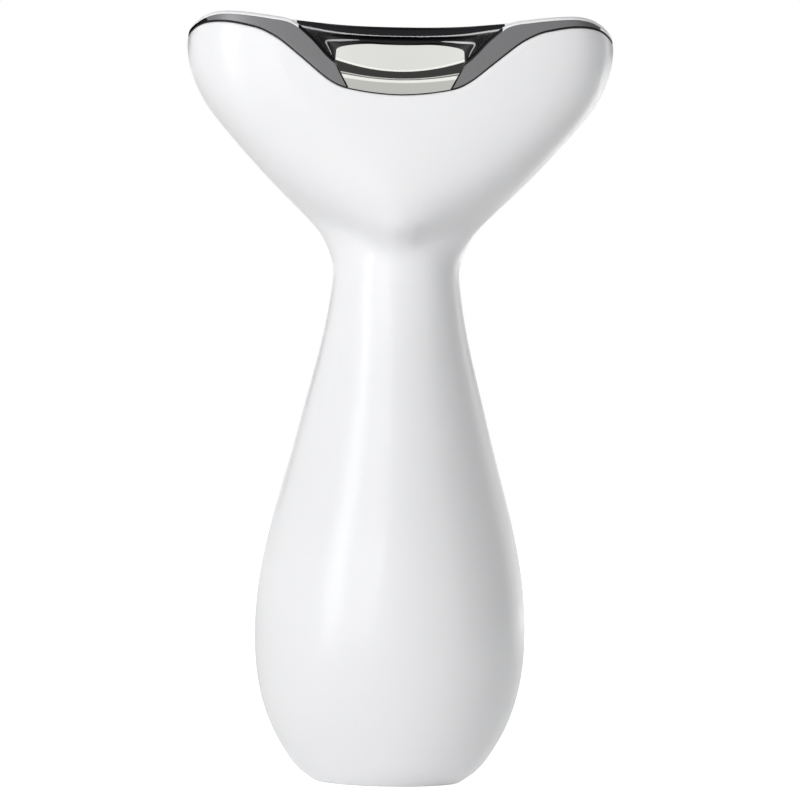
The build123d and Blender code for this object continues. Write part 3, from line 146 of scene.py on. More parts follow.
def joined(*runs: Run) -> Run:
    """Runs end to end, without their shared points."""
    return runs[0] + tuple(point for run in runs[1:] for point in run[1:])


def ease(low: float, high: float, value: Array) -> Array:
    """Rise smoothly from 0 at low to 1 at high, as 3 t^2 - 2 t^3."""
    t = np.clip((value - low) / (high - low), 0, 1)
    return t * t * (3 - 2 * t)


def arc(count: int) -> Array:
    """Angles of a quarter turn, in count steps."""
    return np.linspace(0, np.pi / 2, count + 1)


# ------------------------------------------------------------------ the body's form


@dataclass(frozen=True)
class BodyForm:
    """The outside of the handle and head: half width, depths and squareness at each height."""

    base_radius: float = 15.6
    base_depth: float = 14.5
    belly_radius: float = 29.15
    belly_depth: float = 27.0
    belly_height: float = 32.0
    neck_radius: float = 13.6
    neck_depth: float = 12.9
    neck_height: float = 109.5
    horn_reach: float = 45.85
    horn_height: float = 158.5
    face_depth: float = 21.0
    back_depth: float = 12.2
    above_horn: float = 10.0
    above_shares: tuple[float, ...] = (0, 0.25, 0.5, 0.75, 1, 1.3)
    top_taper: float = 2.6
    top_power: float = 1.5
    round_handle: float = 0.5523
    round_until: float = 100.0
    head_fullness: float = 0.84
    chin_lift: float = 12.6
    chin_round: float = 0.26
    chin_rise: Span = (100.0, 118.0)
    lobe: float = 0.9
    lobe_rise: Span = (114.8, 118.2)
    lobe_fade: Span = (118.0, 136.0)
    head_range: Span = (125.0, 172.0)
    base_to_belly: Run = ((0, 0), (0.06, 0.215), (0.17, 0.445), (0.33, 0.67), (0.52, 0.85), (0.75, 0.965),
                          (1, 1))
    belly_to_neck: Run = ((0, 0), (0.115, 0.03), (0.245, 0.135), (0.38, 0.305), (0.51, 0.482), (0.64, 0.645),
                          (0.77, 0.81), (0.87, 0.915), (0.95, 0.978), (1, 1))
    neck_to_horn: Run = ((0, 0), (0.06, 0.012), (0.105, 0.037), (0.15, 0.069), (0.195, 0.118),
                         (0.24, 0.182), (0.3, 0.276), (0.37, 0.385), (0.46, 0.517), (0.55, 0.642),
                         (0.64, 0.762), (0.73, 0.868), (0.82, 0.943), (0.91, 0.986), (1, 1))
    neck_to_face: Run = ((0, 0), (0.06, 0), (0.1, 0.09), (0.135, 0.3), (0.17, 0.53), (0.215, 0.69),
                         (0.28, 0.82), (0.37, 0.9), (0.46, 0.945), (0.64, 0.99), (1, 1))
    neck_to_back: Run = ((0, 0), (0.3, 0.3), (1, 1))
    neck_to_full: Run = ((0, 0), (0.1, -0.2), (0.2, -0.25), (0.36, 0.25), (0.52, 0.7), (0.8, 1), (1, 1))

    def over_horn(self, size: float, taper: float) -> Run:
        """Points of a size above the horns, drawn in as a power of the height over them."""
        return tuple((self.horn_height + s * self.above_horn, size - taper * s**self.top_power)
                     for s in self.above_shares)

    def upward(self, sizes: Place, run: Run, top: float, taper: float) -> Curve:
        """A size over the height, from the base over the belly and the neck to the horns.

        Args:
            sizes: the size at the base, the belly and the neck.
            run: its shares from the neck to the horns.
            top: the size at the horns.
            taper: how far it draws in above them.

        Returns:
            The curve over the height.
        """
        base, belly, neck = sizes
        low = laid(self.base_to_belly, (0, self.belly_height), (base, belly))
        middle = laid(self.belly_to_neck, (self.belly_height, self.neck_height), (belly, neck))
        head = laid(run, (self.neck_height, self.horn_height), (neck, top))
        return Curve(joined(low, middle, head, self.over_horn(top, taper)))

    @cached_property
    def width(self) -> Curve:
        """Half width over the height."""
        sizes = (self.base_radius, self.belly_radius, self.neck_radius)
        return self.upward(sizes, self.neck_to_horn, self.horn_reach, self.top_taper)

    @cached_property
    def front(self) -> Curve:
        """Depth of the front over the height."""
        sizes = (self.base_depth, self.belly_depth, self.neck_depth)
        return self.upward(sizes, self.neck_to_face, self.face_depth, self.top_taper / 2)

    @cached_property
    def back(self) -> Curve:
        """Depth of the back over the height."""
        sizes = (self.base_depth, self.belly_depth, self.neck_depth)
        return self.upward(sizes, self.neck_to_back, self.back_depth, 0)

    @cached_property
    def full(self) -> Curve:
        """Squareness over the height, the same up the handle and rising over the head.

        Returns:
            The curve over the height.
        """
        rise = (self.round_handle, self.head_fullness)
        head = laid(self.neck_to_full, (self.neck_height, self.horn_height), rise)
        even = (0, self.belly_height, self.round_until, self.neck_height)
        level = tuple((height, self.round_handle) for height in even)
        return Curve(joined(level, head, self.over_horn(self.head_fullness, 0)))

    def around(self, turn: Array, z: Array, inset: Array = 0.0) -> Array:
        """Points of the form.

        A level is four cubic quarters.  With t the share of a quarter from its side to the front
        or back and f the squareness, x = width ((1-t)^3 + 3 t (1-t)^2 + 3 t^2 (1-t) f) and
        y = depth (3 t (1-t)^2 f + 3 t^2 (1-t) + t^3).  The front's depth is read
        c (1-t)^2 / (1-t + p) lower towards the sides, so that the chin runs up on both sides,
        and a small lobe stands out above the chin.  The share p rounds the chin's point.

        Args:
            turn: quarters round the level from the middle of the front, through the right side.
            z: heights.
            inset: how far the points lie inside the form.

        Returns:
            The points, with x, y and z as the last axis.
        """
        turn, z, inset = np.broadcast_arrays(turn, z, inset)
        quarter = np.mod(turn, 4)
        t = np.abs(1 - np.mod(turn, 2))
        front = (quarter < 1) | (quarter >= 3)
        width = self.width.at(z) - inset
        chin = self.chin_lift * (1 - t) ** 2 / (1 - t + self.chin_round) * ease(*self.chin_rise, z)
        lobe = self.lobe * ease(*self.lobe_rise, z - chin) * (1 - ease(*self.lobe_fade, z - chin))
        depth = np.where(front, self.front.at(z - chin) + lobe, self.back.at(z)) - inset
        full = self.full.at(z)
        x = width * ((1 - t) ** 3 + 3 * t * (1 - t) ** 2 + 3 * t**2 * (1 - t) * full)
        y = depth * (3 * t * (1 - t) ** 2 * full + 3 * t**2 * (1 - t) + t**3)
        return np.stack([np.where(quarter < 2, x, -x), np.where(front, -y, y), z], -1)

    def meet(self, turn: Array, inset: Array, height: Heights) -> Array:
        """Points where the form reaches a height surface, found by halving the range of z.

        Args:
            turn: quarters round the form.
            inset: how far inside the form.
            height: the surface's height over (x, y).

        Returns:
            The meeting points.
        """
        turn, inset = np.broadcast_arrays(turn, inset)
        under, over = (np.full(turn.shape, level) for level in self.head_range)
        for _ in range(HALVINGS):
            middle = (under + over) / 2
            point = self.around(turn, middle, inset)
            below = middle < height(point[..., 0], point[..., 1])
            under, over = np.where(below, middle, under), np.where(below, over, middle)
        return self.around(turn, (under + over) / 2, inset)

    def depth_at(self, x: Array, z: Array, back: bool = False) -> Array:
        """Depth of the front or back at a distance from the middle, found by halving a quarter.

        Args:
            x: distances from the middle.
            z: heights.
            back: whether the back is meant and not the front.

        Returns:
            The depths, counted outwards.
        """
        way = 1 if back else -1
        low, high = np.zeros(np.broadcast(x, z).shape), np.ones(np.broadcast(x, z).shape)
        for _ in range(HALVINGS):
            middle = (low + high) / 2
            outside = self.around(1 + way * middle, z)[..., 0] > np.abs(x)
            low, high = np.where(outside, middle, low), np.where(outside, high, middle)
        return way * self.around(1 + way * high, z)[..., 1]


@dataclass(frozen=True)
class HeadForm:
    """The scooped top of the head: height surfaces between a front line and a back line."""

    front_plane: float = -22.0
    back_plane: float = 12.0
    shoulder_height: float = 163.9
    rim_height: float = 163.9
    edge_height: float = 161.7
    bezel_band: float = 2.6
    bezel_width: float = 2.4
    gasket: float = 0.35
    front_drop: float = 0.3
    back_drop: float = 1.5
    crest_line: Run = ((0, 13.6), (6, 13.1), (11, 11.8), (13, 11.0), (14.5, 10.0), (16, 8.6), (18.2, 6.1),
                       (20.4, 4.0), (22.2, 2.5), (23.8, 1.75), (26.5, 1.2), (31, 0.55), (35, 0.1), (38.5, 0),
                       (41, 0.5), (43, 1.4), (45, 2.7), (47.5, 4.4))
    rim_line: Run = ((0, 0), (11, -0.2), (20, -0.8), (28, -1.3), (35, -1.3), (40, -0.7), (43, 0.5), (45, 1.8),
                     (47.5, 3.6))
    edge_line: Run = ((0, 15.76), (4, 15.57), (7, 15.23), (10.6, 14.62), (12.3, 14.18), (13.7, 13.55),
                      (16, 12.03), (18.4, 10.02), (20.8, 7.98), (23.5, 5.72), (25.9, 3.87), (27.5, 2.93),
                      (30, 1.76), (32, 1.2), (36, 0.35), (40, 0.05), (42.8, 0.35), (44.3, 1.0), (47.5, 3.6))

    def between(self, front: Array, back: Array, y: Array) -> Array:
        """Height on the straight line from the front plane to the back plane."""
        return front + (back - front) * (y - self.front_plane) / (self.back_plane - self.front_plane)

    def rim(self, x: Array) -> Array:
        """Height of the rim on the back plane."""
        return self.rim_height - Curve(self.rim_line, even=True).at(x)

    def edge(self, x: Array, y: Array) -> Array:
        """Height of the shells' upper edge."""
        front = self.edge_height - Curve(self.edge_line, even=True).at(x)
        return self.between(front, self.rim(x) - self.bezel_band, y)

    def over_gasket(self, x: Array, y: Array) -> Array:
        """Height of the gasket's top."""
        return self.edge(x, y) + self.gasket

    def top(self, x: Array, y: Array) -> Array:
        """Height of the bezel's top."""
        front = self.shoulder_height - Curve(self.crest_line, even=True).at(x)
        return self.between(front, self.rim(x), y)

    def saddle(self, x: Array, y: Array) -> Array:
        """Height of the dark saddle, a little under the bezel's top."""
        front = self.shoulder_height - Curve(self.crest_line, even=True).at(x)
        return self.between(front - self.front_drop, self.rim(x) - self.back_drop, y)


BODY = BodyForm()
HEAD = HeadForm()


# ------------------------------------------------------------------ finishes


class Grain(Enum):
    """What the fine surface of a finish is like."""

    MOULDED = "moulded"
    POLISHED = "polished"
    BRUSHED = "brushed"
    SPARKED = "sparked"
    BOARD = "board"
    WOUND = "wound"
    WRAPPED = "wrapped"


GRAINS: dict[Grain, tuple[Place, float]] = {
    Grain.MOULDED: ((1, 1, 1), 900.0),
    Grain.POLISHED: ((1, 1, 1), 260.0),
    Grain.BRUSHED: ((0.04, 1, 1), 2600.0),
    Grain.SPARKED: ((1, 1, 1), 2600.0),
    Grain.BOARD: ((1, 1, 1), 700.0),
    Grain.WOUND: ((1, 1, 1), 1500.0),
    Grain.WRAPPED: ((1, 1, 0.1), 500.0),
}
GRAIN_DETAIL = 3.0
GRAIN_DEPTH = 0.0002
WINDING_WAVER = 1.5
CLOUD_SCALE = 45.0
CLOUD_DETAIL = 4.0
LEAST_ROUGHNESS = 0.02


@dataclass(frozen=True)
class Finish:
    """One surface finish, built as a node material on object coordinates."""

    name: str
    colour: Place
    roughness: float
    grain: Grain = Grain.MOULDED
    metallic: float = 0.0
    coat: float = 0.0
    coat_roughness: float = 0.05
    specular: float = 0.5
    edge: float = 1.0
    shade: float = 0.06
    spread: float = 0.04
    bump: float = 0.04
    glow: float = 0.0

    def build(self) -> bpy.types.Material:
        """Make the material, once.

        The grain's noise sets the bump and a slow noise shades the colour and the roughness.

        Returns:
            The material.
        """
        found = bpy.data.materials.get(self.name + "_look")
        if found:
            return found
        material = bpy.data.materials.new(self.name + "_look")
        material.use_nodes = True
        nodes, links = material.node_tree.nodes, material.node_tree.links
        shader = nodes["Principled BSDF"]
        shader.inputs["Metallic"].default_value = self.metallic
        shader.inputs["Coat Weight"].default_value = self.coat
        shader.inputs["Coat Roughness"].default_value = self.coat_roughness
        shader.inputs["Specular IOR Level"].default_value = self.specular
        shader.inputs["Specular Tint"].default_value = (self.edge, self.edge, self.edge, 1)
        place = nodes.new("ShaderNodeTexCoord")
        slow = nodes.new("ShaderNodeTexNoise")
        slow.inputs["Scale"].default_value = CLOUD_SCALE
        slow.inputs["Detail"].default_value = CLOUD_DETAIL
        links.new(place.outputs["Object"], slow.inputs["Vector"])
        self.add_grain(material.node_tree, place, shader)
        tint = nodes.new("ShaderNodeMix")
        tint.data_type = "RGBA"
        tint.inputs["A"].default_value = (*(c * (1 - self.shade) for c in self.colour), 1)
        tint.inputs["B"].default_value = (*self.colour, 1)
        links.new(slow.outputs["Fac"], tint.inputs["Factor"])
        links.new(tint.outputs["Result"], shader.inputs["Base Color"])
        rough = nodes.new("ShaderNodeMapRange")
        rough.inputs["To Min"].default_value = max(self.roughness - self.spread, LEAST_ROUGHNESS)
        rough.inputs["To Max"].default_value = self.roughness + self.spread
        links.new(slow.outputs["Fac"], rough.inputs["Value"])
        links.new(rough.outputs["Result"], shader.inputs["Roughness"])
        if self.glow:
            shader.inputs["Emission Color"].default_value = (*self.colour, 1)
            shader.inputs["Emission Strength"].default_value = self.glow
        return material

    def add_grain(self, tree: bpy.types.NodeTree, place: bpy.types.Node, shader: bpy.types.Node) -> None:
        """Add the grain's bump, a stretched noise, or waves for a winding.

        Args:
            tree: the material's nodes.
            place: the node with the object's coordinates.
            shader: the shader that the bump goes to.
        """
        stretch, fineness = GRAINS[self.grain]
        mapping = tree.nodes.new("ShaderNodeMapping")
        mapping.inputs["Scale"].default_value = stretch
        wound = self.grain is Grain.WOUND
        pattern = tree.nodes.new("ShaderNodeTexWave" if wound else "ShaderNodeTexNoise")
        pattern.inputs["Scale"].default_value = fineness
        if wound:
            pattern.inputs["Distortion"].default_value = WINDING_WAVER
        else:
            pattern.inputs["Detail"].default_value = GRAIN_DETAIL
        bump = tree.nodes.new("ShaderNodeBump")
        bump.inputs["Strength"].default_value = self.bump
        bump.inputs["Distance"].default_value = GRAIN_DEPTH
        tree.links.new(place.outputs["Object"], mapping.inputs["Vector"])
        tree.links.new(mapping.outputs["Vector"], pattern.inputs["Vector"])
        tree.links.new(pattern.outputs["Fac"], bump.inputs["Height"])
        tree.links.new(bump.outputs["Normal"], shader.inputs["Normal"])


WHITE_SHELL = Finish("white_shell", (0.84, 0.84, 0.85), 0.3, coat=0.55, coat_roughness=0.27, shade=0.01,
                     bump=0.03)
WHITE_CAP = Finish("white_cap", (0.8, 0.8, 0.81), 0.5, Grain.SPARKED, shade=0.02, bump=0.25)
SATIN_FACET = Finish("satin_facet", (0.215, 0.215, 0.22), 0.42, Grain.BRUSHED, metallic=1, bump=0.02)
# Near white on the bezel's rounded top at the horns, standing in for the bright reflection there: a painted
# highlight.
PAINTED_HIGHLIGHT_SHOULDER = Finish("painted_highlight_shoulder", (0.95, 0.95, 0.955), 0.5, Grain.POLISHED, specular=0.12,
                        shade=0.01, bump=0.01)
# Pale lines laid on the black saddle, where its fillets would shine: painted highlights.
PAINTED_HIGHLIGHT_LINE = Finish("painted_highlight_line", (0.82, 0.82, 0.82), 0.35, Grain.POLISHED, coat=0.3, bump=0.01)
# Used on the bezel's back wall, the middle of its crown and its left tips: painted dark reflection on the
# ring's metal.
PAINTED_DARK_PLATING = Finish("black_plating", (0.02, 0.02, 0.022), 0.2, Grain.POLISHED, metallic=1, edge=0.4,
                       bump=0.002)
SADDLE_BLACK = Finish("saddle_black", (0.04, 0.04, 0.042), 0.2, Grain.POLISHED, metallic=1, edge=0.42,
                      bump=0.001)
BLACK_GLOSS = Finish("black_gloss", (0.012, 0.012, 0.013), 0.14, Grain.POLISHED, bump=0.01)
BLACK_RUBBER = Finish("black_rubber", (0.015, 0.015, 0.015), 0.6, Grain.SPARKED, specular=0.2, bump=0.2)
POLISHED_STEEL = Finish("polished_steel", (0.66, 0.665, 0.625), 0.055, Grain.POLISHED, metallic=1, shade=0.03,
                        spread=0.02, bump=0.008)
RING_PLATING = Finish("ring_plating", (0.5, 0.5, 0.51), 0.14, Grain.POLISHED, metallic=1, bump=0.01)
BUTTON_WHITE = Finish("button_white", (0.82, 0.82, 0.83), 0.32, coat=0.3, coat_roughness=0.1, shade=0.02,
                      bump=0.05)
MILKY = Finish("milky_diffuser", (0.8, 0.83, 0.86), 0.35, coat=0.2, shade=0.03, glow=0.05)
SYMBOL_GREY = Finish("symbol_grey", (0.32, 0.32, 0.33), 0.4, shade=0.08)
SOCKET_STEEL = Finish("socket_steel", (0.6, 0.6, 0.61), 0.28, Grain.BRUSHED, metallic=1, bump=0.12)
BLACK_PLASTIC = Finish("black_plastic", (0.02, 0.02, 0.021), 0.45, Grain.SPARKED, bump=0.15)
GREY_PLASTIC = Finish("grey_plastic", (0.3, 0.31, 0.32), 0.5, Grain.SPARKED, bump=0.18)
IVORY_PLASTIC = Finish("ivory_plastic", (0.74, 0.7, 0.58), 0.45, Grain.SPARKED, bump=0.12)
GREEN_BOARD = Finish("green_board", (0.02, 0.16, 0.07), 0.35, Grain.BOARD, coat=0.4, shade=0.35, bump=0.12)
BLACK_CHIP = Finish("black_chip", (0.02, 0.02, 0.022), 0.55, Grain.SPARKED, bump=0.2)
CELL_STEEL = Finish("cell_steel", (0.55, 0.55, 0.56), 0.3, Grain.BRUSHED, metallic=1, bump=0.1)
BATTERY_WRAP = Finish("battery_wrap", (0.04, 0.15, 0.4), 0.25, Grain.WRAPPED, coat=0.5, shade=0.1, bump=0.15)
NICKEL = Finish("nickel_strip", (0.6, 0.57, 0.52), 0.33, Grain.BRUSHED, metallic=1, bump=0.12)
SCREW_STEEL = Finish("screw_steel", (0.45, 0.45, 0.46), 0.35, Grain.BRUSHED, metallic=1, bump=0.15)
COPPER = Finish("copper_winding", (0.62, 0.27, 0.12), 0.35, Grain.WOUND, metallic=1, shade=0.3, bump=0.5)
CERAMIC = Finish("tan_ceramic", (0.42, 0.3, 0.18), 0.5, Grain.SPARKED, shade=0.15, bump=0.1)
SWITCH_RED = Finish("switch_red", (0.45, 0.03, 0.02), 0.35, shade=0.08, bump=0.08)
LIGHT_CHIP = Finish("light_chip", (0.8, 0.75, 0.45), 0.4, shade=0.1)
AMBER_FILM = Finish("amber_film", (0.5, 0.22, 0.03), 0.25, Grain.WRAPPED, coat=0.5, shade=0.2, bump=0.2)
GOLD_PIN = Finish("gold_pin", (0.78, 0.55, 0.2), 0.2, Grain.BRUSHED, metallic=1, bump=0.06)
MOTOR_STEEL = Finish("motor_steel", (0.55, 0.55, 0.55), 0.32, Grain.BRUSHED, metallic=1, bump=0.12)
MAGNET = Finish("sintered_magnet", (0.07, 0.07, 0.075), 0.55, Grain.SPARKED, metallic=0.6, bump=0.35)
TUNGSTEN = Finish("sintered_weight", (0.25, 0.25, 0.26), 0.5, Grain.SPARKED, metallic=1, bump=0.35)
RED_WIRE = Finish("red_wire", (0.45, 0.015, 0.012), 0.4, Grain.WRAPPED, shade=0.1, bump=0.1)
BLACK_WIRE = Finish("black_wire", (0.015, 0.015, 0.015), 0.4, Grain.WRAPPED, shade=0.1, bump=0.1)
YELLOW_WIRE = Finish("yellow_wire", (0.6, 0.42, 0.02), 0.4, Grain.WRAPPED, shade=0.1, bump=0.1)
WHITE_WIRE = Finish("white_wire", (0.68, 0.68, 0.68), 0.4, Grain.WRAPPED, shade=0.1, bump=0.1)
BLUE_WIRE = Finish("blue_wire", (0.02, 0.09, 0.38), 0.4, Grain.WRAPPED, shade=0.1, bump=0.1)
PALE_FLOOR = Finish("pale_floor", (0.93, 0.93, 0.93), 0.7, shade=0.0, bump=0.0, glow=1.0)

INNER_FINISHES = {
    "base_cap": WHITE_CAP, "usb_socket_shell": SOCKET_STEEL, "usb_tongue": BLACK_PLASTIC,
    "charge_board": GREEN_BOARD, "charge_parts": BLACK_CHIP, "chassis": GREY_PLASTIC,
    "battery_cell": CELL_STEEL, "battery_sleeve": BATTERY_WRAP, "battery_tabs": NICKEL,
    "main_board": GREEN_BOARD, "board_screws": SCREW_STEEL, "controller_chip": BLACK_CHIP,
    "charger_chip": BLACK_CHIP, "pulse_coil": COPPER, "capacitors": CERAMIC,
    "lead_connector": IVORY_PLASTIC, "battery_connector": IVORY_PLASTIC, "key_board": GREEN_BOARD,
    "key_screws": SCREW_STEEL, "switch_body": BLACK_PLASTIC, "switch_plunger": SWITCH_RED,
    "indicator_lights": LIGHT_CHIP, "heater_film": AMBER_FILM,
    "heat_sensor": BLACK_CHIP, "head_carrier": GREY_PLASTIC, "carrier_screws": SCREW_STEEL,
    "contact_pins": GOLD_PIN, "motor_can": MOTOR_STEEL, "motor_end_cap": IVORY_PLASTIC,
    "motor_magnet": MAGNET, "motor_boot": BLACK_RUBBER, "motor_shaft": MOTOR_STEEL,
    "rotor_core": COPPER, "eccentric_weight": TUNGSTEN, "motor_lead_red": RED_WIRE,
    "motor_lead_black": BLACK_WIRE, "electrode_leads": YELLOW_WIRE, "heater_leads": WHITE_WIRE,
    "battery_lead_red": RED_WIRE, "battery_lead_black": BLACK_WIRE, "charge_leads": BLUE_WIRE,
    "key_leads": WHITE_WIRE,
}


# ------------------------------------------------------------------ meshes


MERGE_REACH = 2e-7
THIN_EDGE = 1e-7
LEAST_LENGTH = 1e-9


def numbered(points: Array) -> Array:
    """The numbers of a grid's points, by row and column."""
    return np.arange(points[..., 0].size).reshape(points.shape[:2])


def closed(index: Array, axis: int = 0) -> Array:
    """A grid's numbers with the first row or column again after the last."""
    return np.concatenate([index, index.take([0], axis)], axis)


def quads(index: Array) -> Array:
    """Four-cornered faces between neighbours of an index grid, as rows of four."""
    return np.stack([index[:-1, :-1], index[:-1, 1:], index[1:, 1:], index[1:, :-1]], -1).reshape(-1, 4)


def piece(name: str, points: Array, faces: list[list[int]], finishes: list[Finish],
          kinds: Array | None = None, body: str = "housing",
          stands_for: tuple[str, ...] = (), sharp: float | None = None) -> bpy.types.Object:
    """Make one piece of the device from points in millimetres.

    Args:
        name: the piece's name.
        points: its corners, one row each.
        faces: its faces, as lists of corner numbers.
        finishes: its finishes.
        kinds: which finish each face takes, or None for the first.
        body: the body it rides on.
        stands_for: the frame's nodes that it replaces.
        sharp: the turn, in degrees, over which an edge is sharp, or None for smooth all over.

    Returns:
        The new object.
    """
    mesh = bpy.data.meshes.new(name)
    mesh.from_pydata((points.reshape(-1, 3) * MM).tolist(), [], faces)
    for finish in finishes:
        mesh.materials.append(finish.build())
    if kinds is not None:
        mesh.polygons.foreach_set("material_index", kinds.astype(np.int32))
    shape = bmesh.new()
    shape.from_mesh(mesh)
    bmesh.ops.remove_doubles(shape, verts=shape.verts, dist=MERGE_REACH)
    bmesh.ops.dissolve_degenerate(shape, edges=shape.edges, dist=THIN_EDGE)
    shape.to_mesh(mesh)
    shape.free()
    mesh.polygons.foreach_set("use_smooth", np.ones(len(mesh.polygons), bool))
    mesh.update()
    if sharp is not None:
        mesh.set_sharp_from_angle(angle=np.radians(sharp))
    made = bpy.data.objects.new(name, mesh)
    bpy.context.scene.collection.objects.link(made)
    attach(made, body)
    if stands_for:
        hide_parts(*stands_for)
    LOG.info("%s: %d faces", name, len(mesh.polygons))
    return made


def thicken(made: bpy.types.Object, thickness: float) -> None:
    """Give an open face its thickness, inwards."""
    solid = made.modifiers.new("thickness", "SOLIDIFY")
    solid.thickness, solid.offset = thickness * MM, -1


# ------------------------------------------------------------------ the button's place


@dataclass(frozen=True)
class ButtonSeat:
    """The round seat of the button on the back of the handle."""

    height: float = 88.0
    radius: float = 5.6
    slide_gap: float = 0.15
    glow_width: float = 0.7
    trim_width: float = 1.3
    gap: float = 0.05
    under_trim: float = 0.65
    hole_reach: float = 12.0
    slope_step: float = 1.0
    settle_steps: int = 6

    @cached_property
    def middle(self) -> Array:
        """The seat's middle on the back of the handle."""
        return np.array([0.0, float(BODY.back.at(np.array(self.height))), self.height])

    @cached_property
    def out(self) -> Array:
        """Unit vector out of the back at the seat.

        Returns:
            The vector (0, 1, -s) made one long, for the back's slope s.
        """
        low, high = BODY.back.at(self.height + self.slope_step * np.array([-1.0, 1.0]))
        slope = (high - low) / (2 * self.slope_step)
        return np.array([0.0, 1.0, -slope]) / np.hypot(1.0, slope)

    @cached_property
    def up(self) -> Array:
        """Unit vector up along the back at the seat."""
        return np.array([0.0, -self.out[2], self.out[1]])

    @property
    def hole(self) -> float:
        """Radius within which the shell is left out; the trim ring hides its edge."""
        return self.radius + self.slide_gap + self.glow_width + self.under_trim

    def laid(self, radius: Array, angle: Array, proud: Array) -> Array:
        """Points over the seat that follow the handle's back.

        A point starts in the seat's plane at radius and angle.  It moves along the seat's axis
        until it lies on the back of the handle, in a few steps, and then by how proud it stands.

        Args:
            radius: distance from the seat's axis.
            angle: angle round it.
            proud: height over the handle's surface, along the axis.

        Returns:
            The points.
        """
        radius, angle, proud = np.broadcast_arrays(radius, angle, proud)
        flat = (self.middle + radius[..., None] * np.cos(angle)[..., None] * np.array([1.0, 0, 0])
                + radius[..., None] * np.sin(angle)[..., None] * self.up)
        lift = np.zeros(radius.shape)
        for _ in range(self.settle_steps):
            at = flat + lift[..., None] * self.out
            lift = lift + (BODY.depth_at(at[..., 0], at[..., 2], back=True) - at[..., 1]) * self.out[1]
        return flat + (lift + proud)[..., None] * self.out


SEAT = ButtonSeat()


# ------------------------------------------------------------------ the handle


